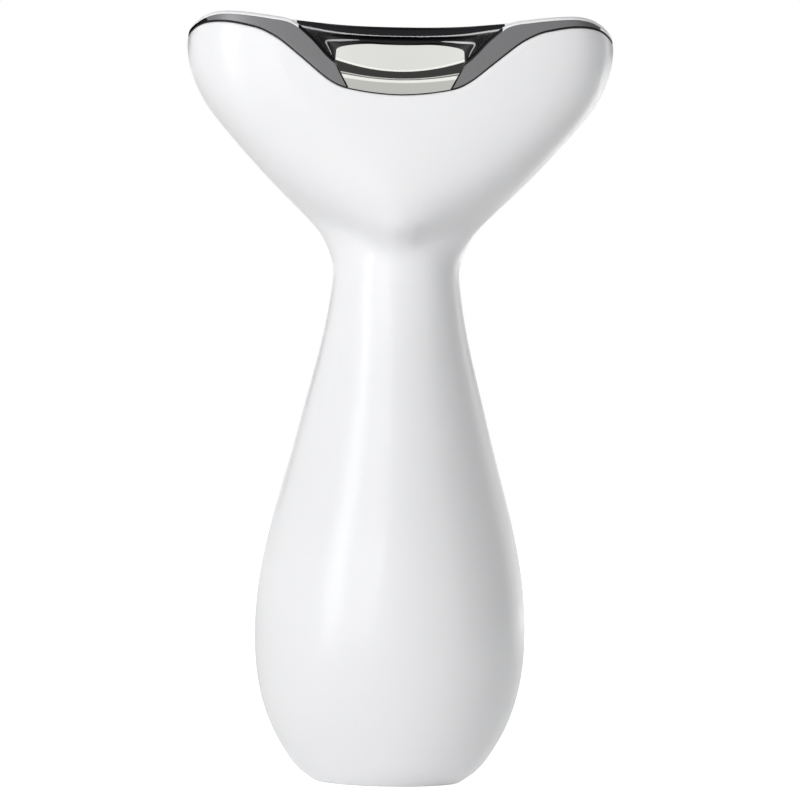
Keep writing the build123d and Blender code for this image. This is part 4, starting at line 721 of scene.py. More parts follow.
@dataclass
class Handle:
    """The two white shells, each one closed skin with its wall, floor and upper edge."""

    wall: float = 2.2
    floor: float = 2.2
    floor_hole: float = 13.5
    foot_round: float = 0.35
    edge_round: float = 0.4
    seam_round: float = 0.12
    seam_reach: float = 0.005
    seam_columns: tuple[float, ...] = (0.0, 0.002, 0.005, 0.01)
    first_column: float = 0.02
    columns: int = 220
    rows: tuple[tuple[float, float, int], ...] = ((0.0, 1.0, 90), (0.48, 0.62, 70), (0.88, 1.0, 40))
    share_digits: int = 5
    roll: int = 4

    def column_turns(self, start: float) -> Array:
        """Quarters of the columns, half the way round, closer together at the seams.

        Args:
            start: the quarter where they start.

        Returns:
            The quarters, in order.
        """
        seam = np.array(self.seam_columns)
        between = np.linspace(self.first_column, 2 - self.first_column, self.columns)
        return start + np.r_[seam, between, 2 - seam[::-1]]

    def heights(self) -> Array:
        """Shares of the way up, closer together round the button and near the head."""
        shares = np.concatenate([np.linspace(*run) for run in self.rows])
        return np.unique(np.round(shares, self.share_digits))

    def seam(self, turns: Array) -> Array:
        """How far the skin draws in at a turn d from the parting line, r (1 - d / w)^2."""
        away = np.minimum(turns - turns[0], turns[-1] - turns)
        return self.seam_round * (1 - np.clip(away / self.seam_reach, 0, 1)) ** 2

    def skin(self, turns: Array) -> tuple[Array, Array, Array]:
        """Points of a shell's section at each turn, in order round the wall.

        With s the share of the way from the foot z0 to the edge z1, the outer rows lie at
        z = z0 + s (z1 - z0) and the inner rows at the same shares, one wall further in.  The
        foot and the upper edge are quarter rounds, r (1 - cos) further in and r sin higher.

        Args:
            turns: quarters of the columns.

        Returns:
            The points by row and column, and the numbers of the outer and inner rows.
        """
        share, draw = self.heights()[:, None], self.seam(turns)
        foot, edge = self.foot_round, self.edge_round
        top_out = BODY.meet(turns, draw, HEAD.edge)[:, 2]
        top_in = BODY.meet(turns, np.full(turns.shape, self.wall), HEAD.edge)[:, 2]
        outer = BODY.around(turns, foot + share * (top_out - edge - foot), draw)
        inner = BODY.around(turns, self.floor + share * (top_in - self.floor), self.wall)
        turn = arc(self.roll)[:, None]
        low = BODY.around(turns, foot * (1 - np.sin(turn)), draw + foot * (1 - np.cos(turn)))[::-1]
        high_inset = draw + edge * (1 - np.cos(turn))
        high = BODY.around(turns, top_out - edge * (1 - np.sin(turn)), high_inset)
        flat = BODY.meet(turns, draw + edge, HEAD.edge)
        high[..., 2] += (flat[:, 2] - top_out) * (1 - np.cos(turn))
        direction = low[0, :, :2] / np.linalg.norm(low[0, :, :2], axis=-1, keepdims=True)
        hole = np.c_[direction * self.floor_hole, np.zeros(len(turns))]
        floor = hole + np.array([0, 0, self.floor])
        before = [floor[None], hole[None], low[:-1]]
        points = np.concatenate([*before, outer, high[1:], inner[::-1]])
        outer_rows = sum(len(rows) for rows in before) + np.arange(len(outer))
        return points, outer_rows, len(points) - 1 - np.arange(len(inner))

    def opening(self, points: Array, outer: Array, inner: Array) -> tuple[Array, list[Array]]:
        """The button's round hole and the wall between its outer and inner edges.

        A face is left out when its centre is nearer to the seat's axis than the hole's radius.
        Wherever a kept face meets one that is left out, a wall face joins the outer and inner rows.

        Args:
            points: the shell's points by row and column.
            outer: the numbers of the outer rows.
            inner: the numbers of the inner rows.

        Returns:
            Whether each outer face is kept, and the wall's faces along rows and along columns.
        """
        index = numbered(points)
        off = (points[outer][:-1, :-1] + points[outer][1:, 1:]) / 2 - SEAT.middle
        along = off @ SEAT.out
        away = np.linalg.norm(off - along[..., None] * SEAT.out, axis=-1)
        solid = (away > SEAT.hole) | (along < -SEAT.hole_reach)
        row, column = np.nonzero(solid[1:] != solid[:-1])
        level = np.stack([index[outer[row + 1], column], index[outer[row + 1], column + 1],
                          index[inner[row + 1], column + 1], index[inner[row + 1], column]], -1)
        flip = solid[row + 1, column]
        level[flip] = level[flip][:, ::-1]
        row, column = np.nonzero(solid[:, 1:] != solid[:, :-1])
        upright = np.stack([index[outer[row], column + 1], index[inner[row], column + 1],
                            index[inner[row + 1], column + 1], index[outer[row + 1], column + 1]], -1)
        flip = solid[row, column + 1]
        upright[flip] = upright[flip][:, ::-1]
        return solid, [level, upright]

    def shell(self, name: str, start: float, opening: bool) -> None:
        """Build one shell.

        Its faces join neighbours of the grid of points.  At the parting lines the wall is closed
        with faces between the outer and inner rows, and with one face each at foot and edge.

        Args:
            name: the piece's name, without its ending.
            start: quarter where its columns start.
            opening: whether it has the button's hole.
        """
        turns = self.column_turns(start)
        points, outer, inner = self.skin(turns)
        index = numbered(points)
        kept = np.ones((len(points), len(turns) - 1), bool)
        walls: list[Array] = []
        if opening:
            solid, walls = self.opening(points, outer, inner)
            kept[outer[:-1]] = solid
            kept[inner[1:]] = solid
        faces = quads(closed(index))[kept.reshape(-1)]
        first = np.stack([index[inner[:-1], 0], index[outer[:-1], 0],
                          index[outer[1:], 0], index[inner[1:], 0]], -1)
        last = np.stack([index[outer[:-1], -1], index[inner[:-1], -1],
                         index[inner[1:], -1], index[outer[1:], -1]], -1)
        low, high = np.arange(0, outer[0] + 1), np.arange(outer[-1], inner[-1] + 1)
        loops = [np.r_[index[inner[0], 0], index[low, 0]], np.r_[index[inner[0], -1], index[low[::-1], -1]],
                 index[high, 0], index[high[::-1], -1]]
        blocks = np.concatenate([faces, first, last, *walls])
        used = np.zeros(index.size, bool)
        used[blocks] = True
        number = np.cumsum(used) - 1
        listed = number[blocks].tolist() + [number[loop].tolist() for loop in loops]
        piece(name + "_skin", points.reshape(-1, 3)[used], listed, [WHITE_SHELL],
              stands_for=(name,), sharp=STEEP_ANGLE)

    def build(self) -> None:
        """Build both shells."""
        self.shell("front_shell", start=-1.0, opening=False)
        self.shell("rear_shell", start=1.0, opening=True)


# ------------------------------------------------------------------ the contact plate's form


@dataclass(frozen=True)
class PlateForm:
    """The folded contact plate's outer face and border, which the head's other pieces follow."""

    half: float = 13.7
    foot_half: float = 10.7
    back: float = 3.4
    corner_wide: float = 8.5
    corner_deep: float = 12.0
    thickness: float = 0.8
    recess: float = 0.2
    fold: float = 10.0
    fold_wider: float = 4.5
    lean: float = 35.0
    fold_end: float = 54.0
    belly: float = 0.4
    foot_height: float = 147.8
    shoulder: float = 153.6
    foot_start: float = -20.5
    foot_steps: int = 5
    foot_grow: float = 0.2
    top_length: float = 16.0
    columns: int = 181
    corner_rows: int = 24
    top_rows: int = 20
    fold_rows: int = 18
    face_rows: int = 23
    width_steps: int = 8
    line_margin: float = 0.5
    line_samples: int = 241
    line_degree: int = 6
    border_gap: float = 0.1
    border_front: float = -17.0
    border_steps: int = 150
    border_looks: Run = ((0, 0.16), (0.3, 0.66), (0.46, 0.98), (0.56, 1.3), (0.66, 1.52), (0.78, 1.74),
                         (1, 2))

    def half_at(self, z: Array) -> Array:
        """Half width of the plate's front at a height, wider in a straight line up to its shoulder."""
        share = np.clip((z - self.foot_height) / (self.shoulder - self.foot_height), 0, 1)
        return self.foot_half + (self.half - self.foot_half) * share

    def foot_at(self, x: Array) -> tuple[Array, Array]:
        """The plate's foot on the gasket, found in a few steps.

        Args:
            x: distances from the middle.

        Returns:
            The foot's depths and heights.
        """
        y = np.full(x.shape, self.foot_start)
        for _ in range(self.foot_steps):
            y = -BODY.depth_at(x, HEAD.over_gasket(x, y))
        return y, HEAD.over_gasket(x, y)

    @cached_property
    def lines(self) -> Array:
        """The plate's leading measures as polynomials over x.

        Returns:
            One row of factors each for the top's level and slope and the foot's depth and height.
        """
        reach = self.half + self.line_margin
        x = np.linspace(-reach, reach, self.line_samples)
        level = HEAD.saddle(x, 0 * x) - self.recess
        slope = HEAD.saddle(x, 0 * x + 1) - self.recess - level
        return np.stack([np.polyfit(x, run, self.line_degree) for run in (level, slope, *self.foot_at(x))])

    def fold_at(self, x: Array) -> tuple[Array, Array, Array, Array]:
        """The fold between the top and the leaning front, an arc in each section.

        In a section the top is the line n1 p = a and the front the line n2 p = b, for unit
        normals n1 and n2.  The arc of radius r has its middle q where n1 q = a - r and
        n2 q = b - r.

        Args:
            x: distances from the middle.

        Returns:
            The arc's middle's depth and height, the angle at which it begins, and its radius.
        """
        radius = self.fold + self.fold_wider * (x / self.half) ** 2
        level, slope, foot_y, foot_z = (np.polyval(line, x) for line in self.lines)
        lean, steep = np.radians(self.lean), np.hypot(1, slope)
        top, front = (-slope / steep, 1 / steep), (-np.cos(lean), np.sin(lean))
        a = level * top[1] - radius
        b = front[0] * foot_y + front[1] * foot_z - radius
        size = top[0] * front[1] - top[1] * front[0]
        middle_y, middle_z = (a * front[1] - b * top[1]) / size, (top[0] * b - front[0] * a) / size
        return middle_y, middle_z, np.arctan(slope), radius

    def face(self, grow: float = 0.0) -> Array:
        """Points of the plate's outer face, by row and column.

        Rows run from the back edge over the top, round the fold and down the leaning front.  A
        column lies at x = u W.  W is the half width: w0 + w sqrt(1 - (1 - e / c)^2) at a distance
        e < c from the back edge, and the narrowing spout's lower down.  The front below the fold
        is the curve (1-t)^2 p + 2 t (1-t) c + t^2 f, from the fold's end p along its slope c to
        the foot f.

        Args:
            grow: how much wider and longer than the plate the face is.

        Returns:
            The points.
        """
        u = np.linspace(-1, 1, self.columns)
        wide, deep, back = self.corner_wide, self.corner_deep, self.back + grow
        corner = deep * (1 - np.cos(arc(self.corner_rows)))
        first = np.r_[corner, np.linspace(deep, self.top_length, self.top_rows)[1:]][:, None]
        bow = np.clip(1 - first / deep, 0, 1)
        x_top = u * (self.half + grow - wide + wide * np.sqrt(1 - bow**2))
        q_y, _, begin, radius = self.fold_at(x_top)
        y_top = back - first * (back - q_y + radius * np.sin(begin)) / self.top_length
        z_top = np.polyval(self.lines[0], x_top) + y_top * np.polyval(self.lines[1], x_top)
        turned = np.linspace(0, 1, self.fold_rows + 1)[1:, None]
        down = np.linspace(0, 1, self.face_rows + 1)[1:, None]
        end, low = np.radians(self.fold_end), slice(self.fold_rows, None)
        half = np.full((len(turned) + len(down), 1), self.half + grow)
        for _ in range(self.width_steps):
            x = u * half
            q_y, q_z, begin, radius = self.fold_at(x)
            rounded = begin[:self.fold_rows] + turned * (end - begin[:self.fold_rows])
            angle = np.concatenate([rounded, np.full(begin[low].shape, end)])
            y, z = q_y - radius * np.sin(angle), q_z + radius * np.cos(angle)
            foot_y, foot_z = (np.polyval(line, x[low]) for line in self.lines[2:])
            reach = self.belly * np.hypot(foot_y - y[low], foot_z - z[low])
            by_y, by_z = y[low] - reach * np.cos(end), z[low] - reach * np.sin(end)
            y[low] = (1 - down) ** 2 * y[low] + 2 * down * (1 - down) * by_y + down**2 * foot_y
            z[low] = (1 - down) ** 2 * z[low] + 2 * down * (1 - down) * by_z + down**2 * foot_z
            half = self.half_at(z[:, -1:]) + np.minimum(grow, self.foot_grow)
        true_y, true_z = self.foot_at(x[low])
        y[low] += down**3 * (true_y - foot_y)
        z[low] += down**3 * (true_z - foot_z)
        return np.concatenate([np.stack([x_top, y_top, z_top], -1), np.stack([x, y, z], -1)])

    @cached_property
    def border(self) -> tuple[Array, Array]:
        """The plate's border on the saddle, from its right front round the back.

        Straight along x = half width, a quarter of an ellipse for the corner, and straight along
        the back, then mirrored.

        Returns:
            The border's x and y, and the quarter of the head that each point looks to.
        """
        half, back = self.half + self.border_gap, self.back + self.border_gap
        wide, deep = self.corner_wide, self.corner_deep
        side, bow, flat = back - deep - self.border_front, (wide + deep) * np.pi / 4, half - wide
        along = np.linspace(0, side + bow + flat, self.border_steps)
        angle = np.clip((along - side) / bow, 0, 1) * np.pi / 2
        x = half - wide + wide * np.cos(angle) - np.clip(along - side - bow, 0, None)
        y = back - deep + deep * np.sin(angle) - np.clip(side - along, 0, None)
        looks = np.interp(along / along[-1], *zip(*self.border_looks))
        x, y = np.r_[x, -x[-2::-1]], np.r_[y, y[-2::-1]]
        return np.stack([x, y], -1), np.r_[looks, 4 - looks[-2::-1]]


PLATE = PlateForm()


# ------------------------------------------------------------------ the head's rim


class BezelFace(IntEnum):
    """The bezel's finishes, numbered as its material slots; the second is a painted highlight, the third
    painted dark reflection.
    """

    FACET = 0
    PAINTED_HIGHLIGHT = 1
    PAINTED_DARK = 2
    GLOSS = 3


@dataclass(frozen=True)
class BezelRow:
    """One row of the bezel's section.

    With g the gasket's top and t the bezel's, its height is g + share (t - g) - drop.
    """

    inset: float
    share: float
    drop: float
    on_crown: bool = False

    def height(self, x: Array, y: Array) -> Array:
        """Height of the row over a point."""
        low = HEAD.over_gasket(x, y)
        return low + self.share * (HEAD.top(x, y) - low) - self.drop


@dataclass
class HeadRim:
    """The thin gasket on the shells' edge and the dark bezel on it."""

    gasket_inset: float = 0.12
    wall: float = 2.2
    gasket_columns: int = 480
    outer_round: float = 0.9
    outer_steps: int = 8
    inner_round: float = 0.15
    inner_steps: int = 3
    foot: Run = ((0.12, 0.0), (0.03, -0.05), (0.0, -0.14))
    side: tuple[float, ...] = (0.12, 0.3, 0.5, 0.7, 0.88, 0.96)
    crown: tuple[float, ...] = (0.9, 1.4, 1.9)
    back: Span = (0.5, 0.4)
    columns: int = 620
    spout_gap: float = 0.4
    spout_search: float = 0.6
    spout_halvings: int = 24
    facet_end: Span = (42.6, 41.2)
    painted_dark_half: Span = (21.5, 24.0)
    gloss_rows: int = 3

    def gasket(self) -> None:
        """Build the gasket, a flat band all round the shells' edge.

        Its section's corners are (inset, height) pairs carried round the four quarters.
        """
        turns = np.linspace(0, 4, self.gasket_columns, endpoint=False)
        section = [(self.gasket_inset, HEAD.edge), (self.gasket_inset, HEAD.over_gasket),
                   (self.wall, HEAD.over_gasket), (self.wall, HEAD.edge)]
        points = np.stack([BODY.meet(turns, np.full(turns.shape, inset), height)
                           for inset, height in section])
        index = closed(closed(numbered(points)), axis=1)
        piece("head_gasket_band", points, quads(index).tolist(), [BLACK_RUBBER],
              stands_for=("head_gasket",), sharp=SHARP_ANGLE)

    def section(self) -> list[BezelRow]:
        """The bezel's section, from the gasket up the outside, over the crown and down its back.

        Returns:
            The rows, in order round the section.
        """
        width, outer, inner = HEAD.bezel_width, self.outer_round, self.inner_round
        rows = [BezelRow(width, 0.0, 0.0)]
        rows += [BezelRow(inset, 0.0, drop) for inset, drop in self.foot]
        rows += [BezelRow(0.0, share, outer * share) for share in self.side]
        for angle in arc(self.outer_steps):
            rows.append(BezelRow(outer * (1 - np.cos(angle)), 1.0, outer * (1 - np.sin(angle)), angle > 0))
        rows += [BezelRow(inset, 1.0, 0.0, True) for inset in (*self.crown, width - inner)]
        for angle in arc(self.inner_steps)[1:]:
            inset, drop = width - inner * (1 - np.sin(angle)), inner * (1 - np.cos(angle))
            rows.append(BezelRow(inset, 1.0, drop, True))
        return rows + [BezelRow(width, *self.back)]

    def start(self, row: BezelRow) -> float:
        """The turn where a row clears the spout by its gap, found by halving.

        Args:
            row: the row of the section.

        Returns:
            The turn, in quarters.
        """
        near, far = 0.0, self.spout_search
        for _ in range(self.spout_halvings):
            middle = (near + far) / 2
            at = BODY.meet(np.array([middle]), np.array([row.inset]), row.height)[0]
            if at[0] < PLATE.half_at(at[2]) + self.spout_gap:
                near = middle
            else:
                far = middle
        return far

    def faces(self, points: Array, rows: list[BezelRow]) -> Array:
        """Which finish each face of the bezel takes, white and dark faces being painted highlight and painted
        dark reflection.

        Args:
            points: the bezel's points by row and column.
            rows: its section.

        Returns:
            The finish's number for each face, by row and column.
        """
        crown = np.array([row.on_crown for row in rows])[:, None]
        highest = int(np.argmax(crown))
        crest = points[highest]
        x = np.abs(crest[:-1, 0] + crest[1:, 0])[None] / 2
        front, right = (crest[:-1, 1] < 0)[None], (crest[:-1, 0] > 0)[None]
        row = np.arange(len(rows))[:, None]
        outside = ~crown & (row > 1)
        # The crown is painted dark between the horns and white over them, standing in for reflections on one
        # metal.
        dark = x <= np.where(front, *self.painted_dark_half)
        faces = np.full((len(rows), x.shape[1]), BezelFace.PAINTED_DARK)
        faces[outside & front & (x < np.where(right, *self.facet_end))] = BezelFace.FACET
        # Beyond the facets the right tips are painted white and the left tips stay painted dark, from how the
        # light falls.
        faces[outside & right & (x >= self.facet_end[0])] = BezelFace.PAINTED_HIGHLIGHT
        faces[crown & ~dark] = BezelFace.PAINTED_HIGHLIGHT
        # Only the right crest takes black gloss, where the key lamp's highlight falls.
        faces[crown & dark & right & (row - highest < self.gloss_rows)] = BezelFace.GLOSS
        faces[-1:] = BezelFace.PAINTED_DARK
        return faces

    def bezel(self) -> None:
        """Build the bezel, its section carried round from one side of the spout to the other.

        Each row lies where the form, inset, meets the row's height.
        """
        rows = self.section()
        share = np.linspace(0, 1, self.columns)
        lines = []
        for row in rows:
            start = self.start(row)
            turns = start + share * (4 - 2 * start)
            lines.append(BODY.meet(turns, np.full(turns.shape, row.inset), row.height))
        points = np.stack(lines)
        index = numbered(points)
        ends = [index[:, 0].tolist(), index[::-1, -1].tolist()]
        kinds = np.r_[self.faces(points, rows).reshape(-1), np.full(len(ends), BezelFace.PAINTED_DARK)]
        piece("head_bezel_skin", points, quads(closed(index)).tolist() + ends,
              [SATIN_FACET, PAINTED_HIGHLIGHT_SHOULDER, PAINTED_DARK_PLATING, BLACK_GLOSS], kinds,
              stands_for=("head_bezel",), sharp=SHARP_ANGLE)

    def build(self) -> None:
        """Build the gasket and the bezel."""
        self.gasket()
        self.bezel()


# ------------------------------------------------------------------ the saddle


@dataclass
class Saddle:
    """The black saddle between the plate and the bezel, with pale lines on it that are painted highlights."""

    bezel_gap: float = 0.05
    lip: float = 2.6
    lip_depth: float = 0.3
    pocket: float = 1.1
    rows: int = 70
    first_row: float = 0.004
    ribbon_steps: int = 7
    least_width: float = 0.01
    crease_turns: tuple[float, float, int] = (1.44, 2.56, 220)
    crease_inset: float = 0.25
    crease_width: Span = (0.16, 0.8)
    crease_wide_at: float = 22.0
    crease_taper: float = 0.3
    arc_steps: tuple[int, int] = (6, 108)
    arc_away: Run = ((0.0, 0.7), (0.25, 1.5), (0.55, 2.5), (0.8, 2.3), (1.0, 2.1))
    arc_lift: float = 0.04
    arc_width: Span = (0.2, 0.55)
    arc_swell: Span = (0.45, 0.85)
    arc_taper: float = 0.7

    def dip(self, away: Array) -> Array:
        """How far the soft rim lies under the saddle at a distance from the plate's border."""
        return self.lip_depth * (1 - ease(0.0, self.lip, away))

    def skin(self) -> None:
        """Build the saddle's skin, strings from the plate's border out to the bezel.

        A string runs straight in plan from the border to the form's inset line.  It follows the
        saddle's height, less the soft rim's dip, and ends in a wall down into the plate's pocket.
        """
        inner, looks = PLATE.border
        inset = np.full(looks.shape, HEAD.bezel_width + self.bezel_gap)
        outer = BODY.meet(looks, inset, HEAD.saddle)[:, :2]
        share = np.r_[0, np.geomspace(self.first_row, 1, self.rows)][:, None, None]
        flat = inner + share * (outer - inner)
        z = HEAD.saddle(flat[..., 0], flat[..., 1]) - self.dip(np.linalg.norm(flat - inner, axis=-1))
        skin = np.concatenate([flat, z[..., None]], -1)
        down = np.array([0, 0, self.pocket])
        points = np.concatenate([skin[:1] - down, skin, skin[-1:] - down])
        piece("contact_saddle_skin", points, quads(numbered(points)[::-1]).tolist(), [SADDLE_BLACK],
              stands_for=("contact_saddle",), sharp=SHARP_ANGLE)

    def ribbon(self, name: str, path: Array, width: Array) -> None:
        """Build a pale line that lies on the saddle, a painted highlight.

        The section at each step is a low arch, w cos(a) across and w sin(a) / 2 high, for a from
        0 to half a turn, across the path in plan.

        Args:
            name: the piece's name.
            path: the line's points.
            width: its half width at each point, before the least width is added.
        """
        width = width + self.least_width
        along = np.gradient(path[:, :2], axis=0)
        along /= np.linalg.norm(along, axis=1, keepdims=True)
        across = np.c_[along[:, 1], -along[:, 0]]
        angle = np.linspace(0, np.pi, self.ribbon_steps)[:, None]
        flat = path[:, :2] + np.cos(angle)[..., None] * (width[:, None] * across)
        z = HEAD.saddle(flat[..., 0], flat[..., 1]) + (path[:, 2] - HEAD.saddle(path[:, 0], path[:, 1]))
        z = z + np.sin(angle) * width / 2
        points = np.concatenate([flat, z[..., None]], -1)
        index = numbered(points)
        ends = [index[::-1, 0].tolist(), index[:, -1].tolist()]
        # The pale finish paints a highlight.
        piece(name, points, quads(closed(index)).tolist() + ends, [PAINTED_HIGHLIGHT_LINE])

    def crease(self) -> None:
        """Build the painted highlight along the crease at the back of the saddle.

        Its half width is (a + b (x / c)^2) sin(s)^p, with s from 0 to half a turn along the line.
        """
        turns = np.linspace(*self.crease_turns)
        path = BODY.meet(turns, np.full(turns.shape, HEAD.bezel_width + self.crease_inset), HEAD.saddle)
        least, more = self.crease_width
        width = least + more * (path[:, 0] / self.crease_wide_at) ** 2
        taper = np.sin(np.linspace(0, np.pi, len(turns))) ** self.crease_taper
        self.ribbon("crease_highlight", path, width * taper)

    def arcs(self) -> None:
        """Build the painted highlight arcs round the plate's upper corners.

        An arc runs beside the plate's border, as far off as a curve over its length says.  Its half
        width is sin(s)^p (a + b e), with s from 0 to half a turn along it and e eased from 0 to 1.
        """
        border, steps = PLATE.border[0], slice(*self.arc_steps)
        for name, part, side in (("right_arc_highlight", border[steps], 1), ("left_arc_highlight", border[::-1][steps], -1)):
            ahead = np.gradient(part, axis=0)
            outward = side * np.c_[ahead[:, 1], -ahead[:, 0]] / np.linalg.norm(ahead, axis=1, keepdims=True)
            along = np.linspace(0, 1, len(part))
            away = Curve(self.arc_away).at(along)
            off = part + outward * away[:, None]
            z = HEAD.saddle(off[:, 0], off[:, 1]) + self.arc_lift - self.dip(away)
            least, more = self.arc_width
            width = np.sin(np.pi * along) ** self.arc_taper * (least + more * ease(*self.arc_swell, along))
            self.ribbon("recess_" + name, np.c_[off, z], width)

    def build(self) -> None:
        """Build the saddle and its painted highlight lines."""
        self.skin()
        self.crease()
        self.arcs()


# ------------------------------------------------------------------ the contact plate


@dataclass
class ContactPlate:
    """The polished contact plate and the rubber seat under it."""

    edge_round: float = 0.14
    edge_steps: int = 3
    seat_wider: float = 0.3
    seat_gap: float = 0.03
    seat_thickness: float = 0.5

    def plate(self) -> None:
        """Build the plate from its outer face, with its thickness and fine edge rounds."""
        points = PLATE.face()
        made = piece("contact_plate_skin", points, quads(numbered(points)[::-1]).tolist(), [POLISHED_STEEL],
                     stands_for=("contact_plate",))
        thicken(made, PLATE.thickness)
        bevel = made.modifiers.new("edges", "BEVEL")
        bevel.width, bevel.segments, bevel.limit_method = self.edge_round * MM, self.edge_steps, "ANGLE"
        bevel.angle_limit = np.radians(STEEP_ANGLE)
        bevel.harden_normals = True

    def seat(self) -> None:
        """Build the rubber seat under the plate, the plate's face moved in along its normals."""
        points = PLATE.face(self.seat_wider)
        down, side = np.gradient(points, axis=0), np.gradient(points, axis=1)
        normal = np.cross(down, side)
        normal /= np.maximum(np.linalg.norm(normal, axis=-1, keepdims=True), LEAST_LENGTH)
        normal *= np.sign(normal[len(points) // 3, points.shape[1] // 2, 2])
        points = points - normal * (PLATE.thickness + self.seat_gap)
        made = piece("plate_insulator_skin", points, quads(numbered(points)[::-1]).tolist(), [BLACK_RUBBER],
                     stands_for=("plate_insulator",))
        thicken(made, self.seat_thickness)

    def build(self) -> None:
        """Build the plate and its seat."""
        self.plate()
        self.seat()


# ------------------------------------------------------------------ the power button


@dataclass
class PowerButton:
    """Button cap, light ring and trim ring on the back, and a plain on and off symbol."""

    cap_proud: float = 0.25
    cap_round: float = 0.5
    cap_steps: int = 8
    dish_depth: float = 0.14
    dish_reach: float = 4.8
    dish_radii: tuple[float, ...] = (4.6, 4.0, 3.2, 2.4, 1.6, 0.8, 0.0)
    flange: float = 6.3
    flange_top: float = -3.1
    flange_bottom: float = -3.9
    glow_proud: float = 0.08
    glow_edge: float = 0.1
    glow_depth: float = 2.6
    trim_proud: float = 0.35
    trim_shoulder: float = 0.1
    trim_depth: float = 1.1
    crown_steps: int = 15
    symbol_gap: float = 38.0
    symbol_radii: Span = (1.75, 2.15)
    symbol_steps: int = 97
    bar_half: float = 0.2
    bar_reach: Span = (0.75, 2.45)
    print_rows: int = 4
    bar_columns: int = 12
    print_lift: float = 0.015
    print_thickness: float = 0.03
    steps: int = 144

    def dished(self, radius: Array) -> Array:
        """How proud the cap's face stands at a distance from the seat's axis."""
        return self.cap_proud - self.dish_depth * (1 - ease(0.0, self.dish_reach, radius))

    def turned(self, name: str, section: list[tuple[float, float]], finish: Finish, slot: str, node: str,
               body: str) -> None:
        """Carry a section round the seat's axis, each point as proud of the handle's back as it says.

        Args:
            name: the piece's name.
            section: (radius, proud) pairs in order, closed when the first radius isn't zero.
            finish: its finish.
            slot: not used.
            node: the node that it replaces.
            body: the body it rides on.
        """
        angle = np.linspace(0, 2 * np.pi, self.steps, endpoint=False)
        radius, proud = np.array(section).T
        points = SEAT.laid(radius[:, None], angle, proud[:, None])
        index = closed(numbered(points), axis=1)
        if section[0][0] > 0:
            index = closed(index)
        piece(name, points, quads(index).tolist(), [finish], body=body, stands_for=(node,),
              sharp=STEEP_ANGLE)

    def cap(self) -> None:
        """Build the cap: a face with a shallow dish and a round edge, a skirt and its flange."""
        radius, r, proud = SEAT.radius, self.cap_round, self.cap_proud
        section = [(0.0, self.flange_bottom), (self.flange, self.flange_bottom),
                   (self.flange, self.flange_top), (radius, self.flange_top), (radius, proud - r)]
        section += [(radius - r * (1 - np.cos(t)), proud - r * (1 - np.sin(t)))
                    for t in arc(self.cap_steps)[1:]]
        section += [(d, float(self.dished(np.array(d)))) for d in self.dish_radii]
        self.turned("button_cap_skin", section, BUTTON_WHITE, "button_white", "button_cap", "button")

    def rings(self) -> None:
        """Build the light ring, flush, and the plated trim ring with a full round crown."""
        bore = SEAT.radius + SEAT.slide_gap
        glow = bore + SEAT.glow_width
        top, side = self.glow_proud, self.glow_proud - self.glow_edge
        section = [(bore, -self.glow_depth), (glow, -self.glow_depth), (glow, side), (glow - top, top),
                   (bore + self.glow_edge, top), (bore, side)]
        self.turned("light_ring_skin", section, MILKY, "diffuser", "light_ring", "housing")
        hole, half, low = glow + SEAT.gap, SEAT.trim_width / 2, self.trim_shoulder
        turn = np.linspace(0, np.pi, self.crown_steps)
        crown = [(hole + half + half * np.cos(t), -low + (self.trim_proud + low) * np.sin(t)) for t in turn]
        section = [(hole, -self.trim_depth), (hole + 2 * half, -self.trim_depth), *crown]
        self.turned("trim_ring_skin", section, RING_PLATING, "dark_plating", "trim_ring", "housing")

    def symbol(self) -> None:
        """Build the symbol, printed a hair over the dished cap.

        It is a band between two radii, open by an angle on both sides of the top, and a bar there.
        """
        ends = np.radians([90 + self.symbol_gap, 90 + 360 - self.symbol_gap])
        angle = np.linspace(*ends, self.symbol_steps)
        radius = np.linspace(*self.symbol_radii, self.print_rows)[:, None]
        ring = SEAT.laid(radius, angle, self.dished(radius) + self.print_lift)
        across = np.linspace(-self.bar_half, self.bar_half, self.print_rows)[:, None]
        up = np.linspace(*self.bar_reach, self.bar_columns)
        far, turn = np.hypot(across, up), np.arctan2(up, across)
        bar = SEAT.laid(far, turn, self.dished(far) + self.print_lift)
        first = numbered(ring)
        second = first.size + numbered(bar)
        points = np.concatenate([ring.reshape(-1, 3), bar.reshape(-1, 3)])
        faces = quads(first[::-1]).tolist() + quads(second[::-1]).tolist()
        made = piece("power_symbol", points, faces, [SYMBOL_GREY], body="button")
        thicken(made, self.print_thickness)

    def build(self) -> None:
        """Build the cap, the rings and the symbol."""
        self.cap()
        self.rings()
        self.symbol()


# ------------------------------------------------------------------ the inside


@dataclass
class Interior:
    """The parts carried over from the frame, which keep their shapes and get finishes."""

    finishes: dict[str, Finish] = field(default_factory=INNER_FINISHES.copy)

    def build(self) -> None:
        """Give each carried-over part its finish."""
        for name, finish in self.finishes.items():
            node = frame["nodes"][name]
            node.data.materials.clear()
            node.data.materials.append(finish.build())
            LOG.info("%s: %s", name, finish.name)


# ------------------------------------------------------------------ the studio


@dataclass(frozen=True)
class Lamp:
    """A soft square lamp, with its power in watts."""

    name: str
    place: Place
    size: Span
    power: float
    mirrored: bool = False


@dataclass(frozen=True)
class Card:
    """A card seen only in reflections, from a corner along two sides, in metres."""

    name: str
    corner: Place
    wide: Place
    deep: Place
    glow: float


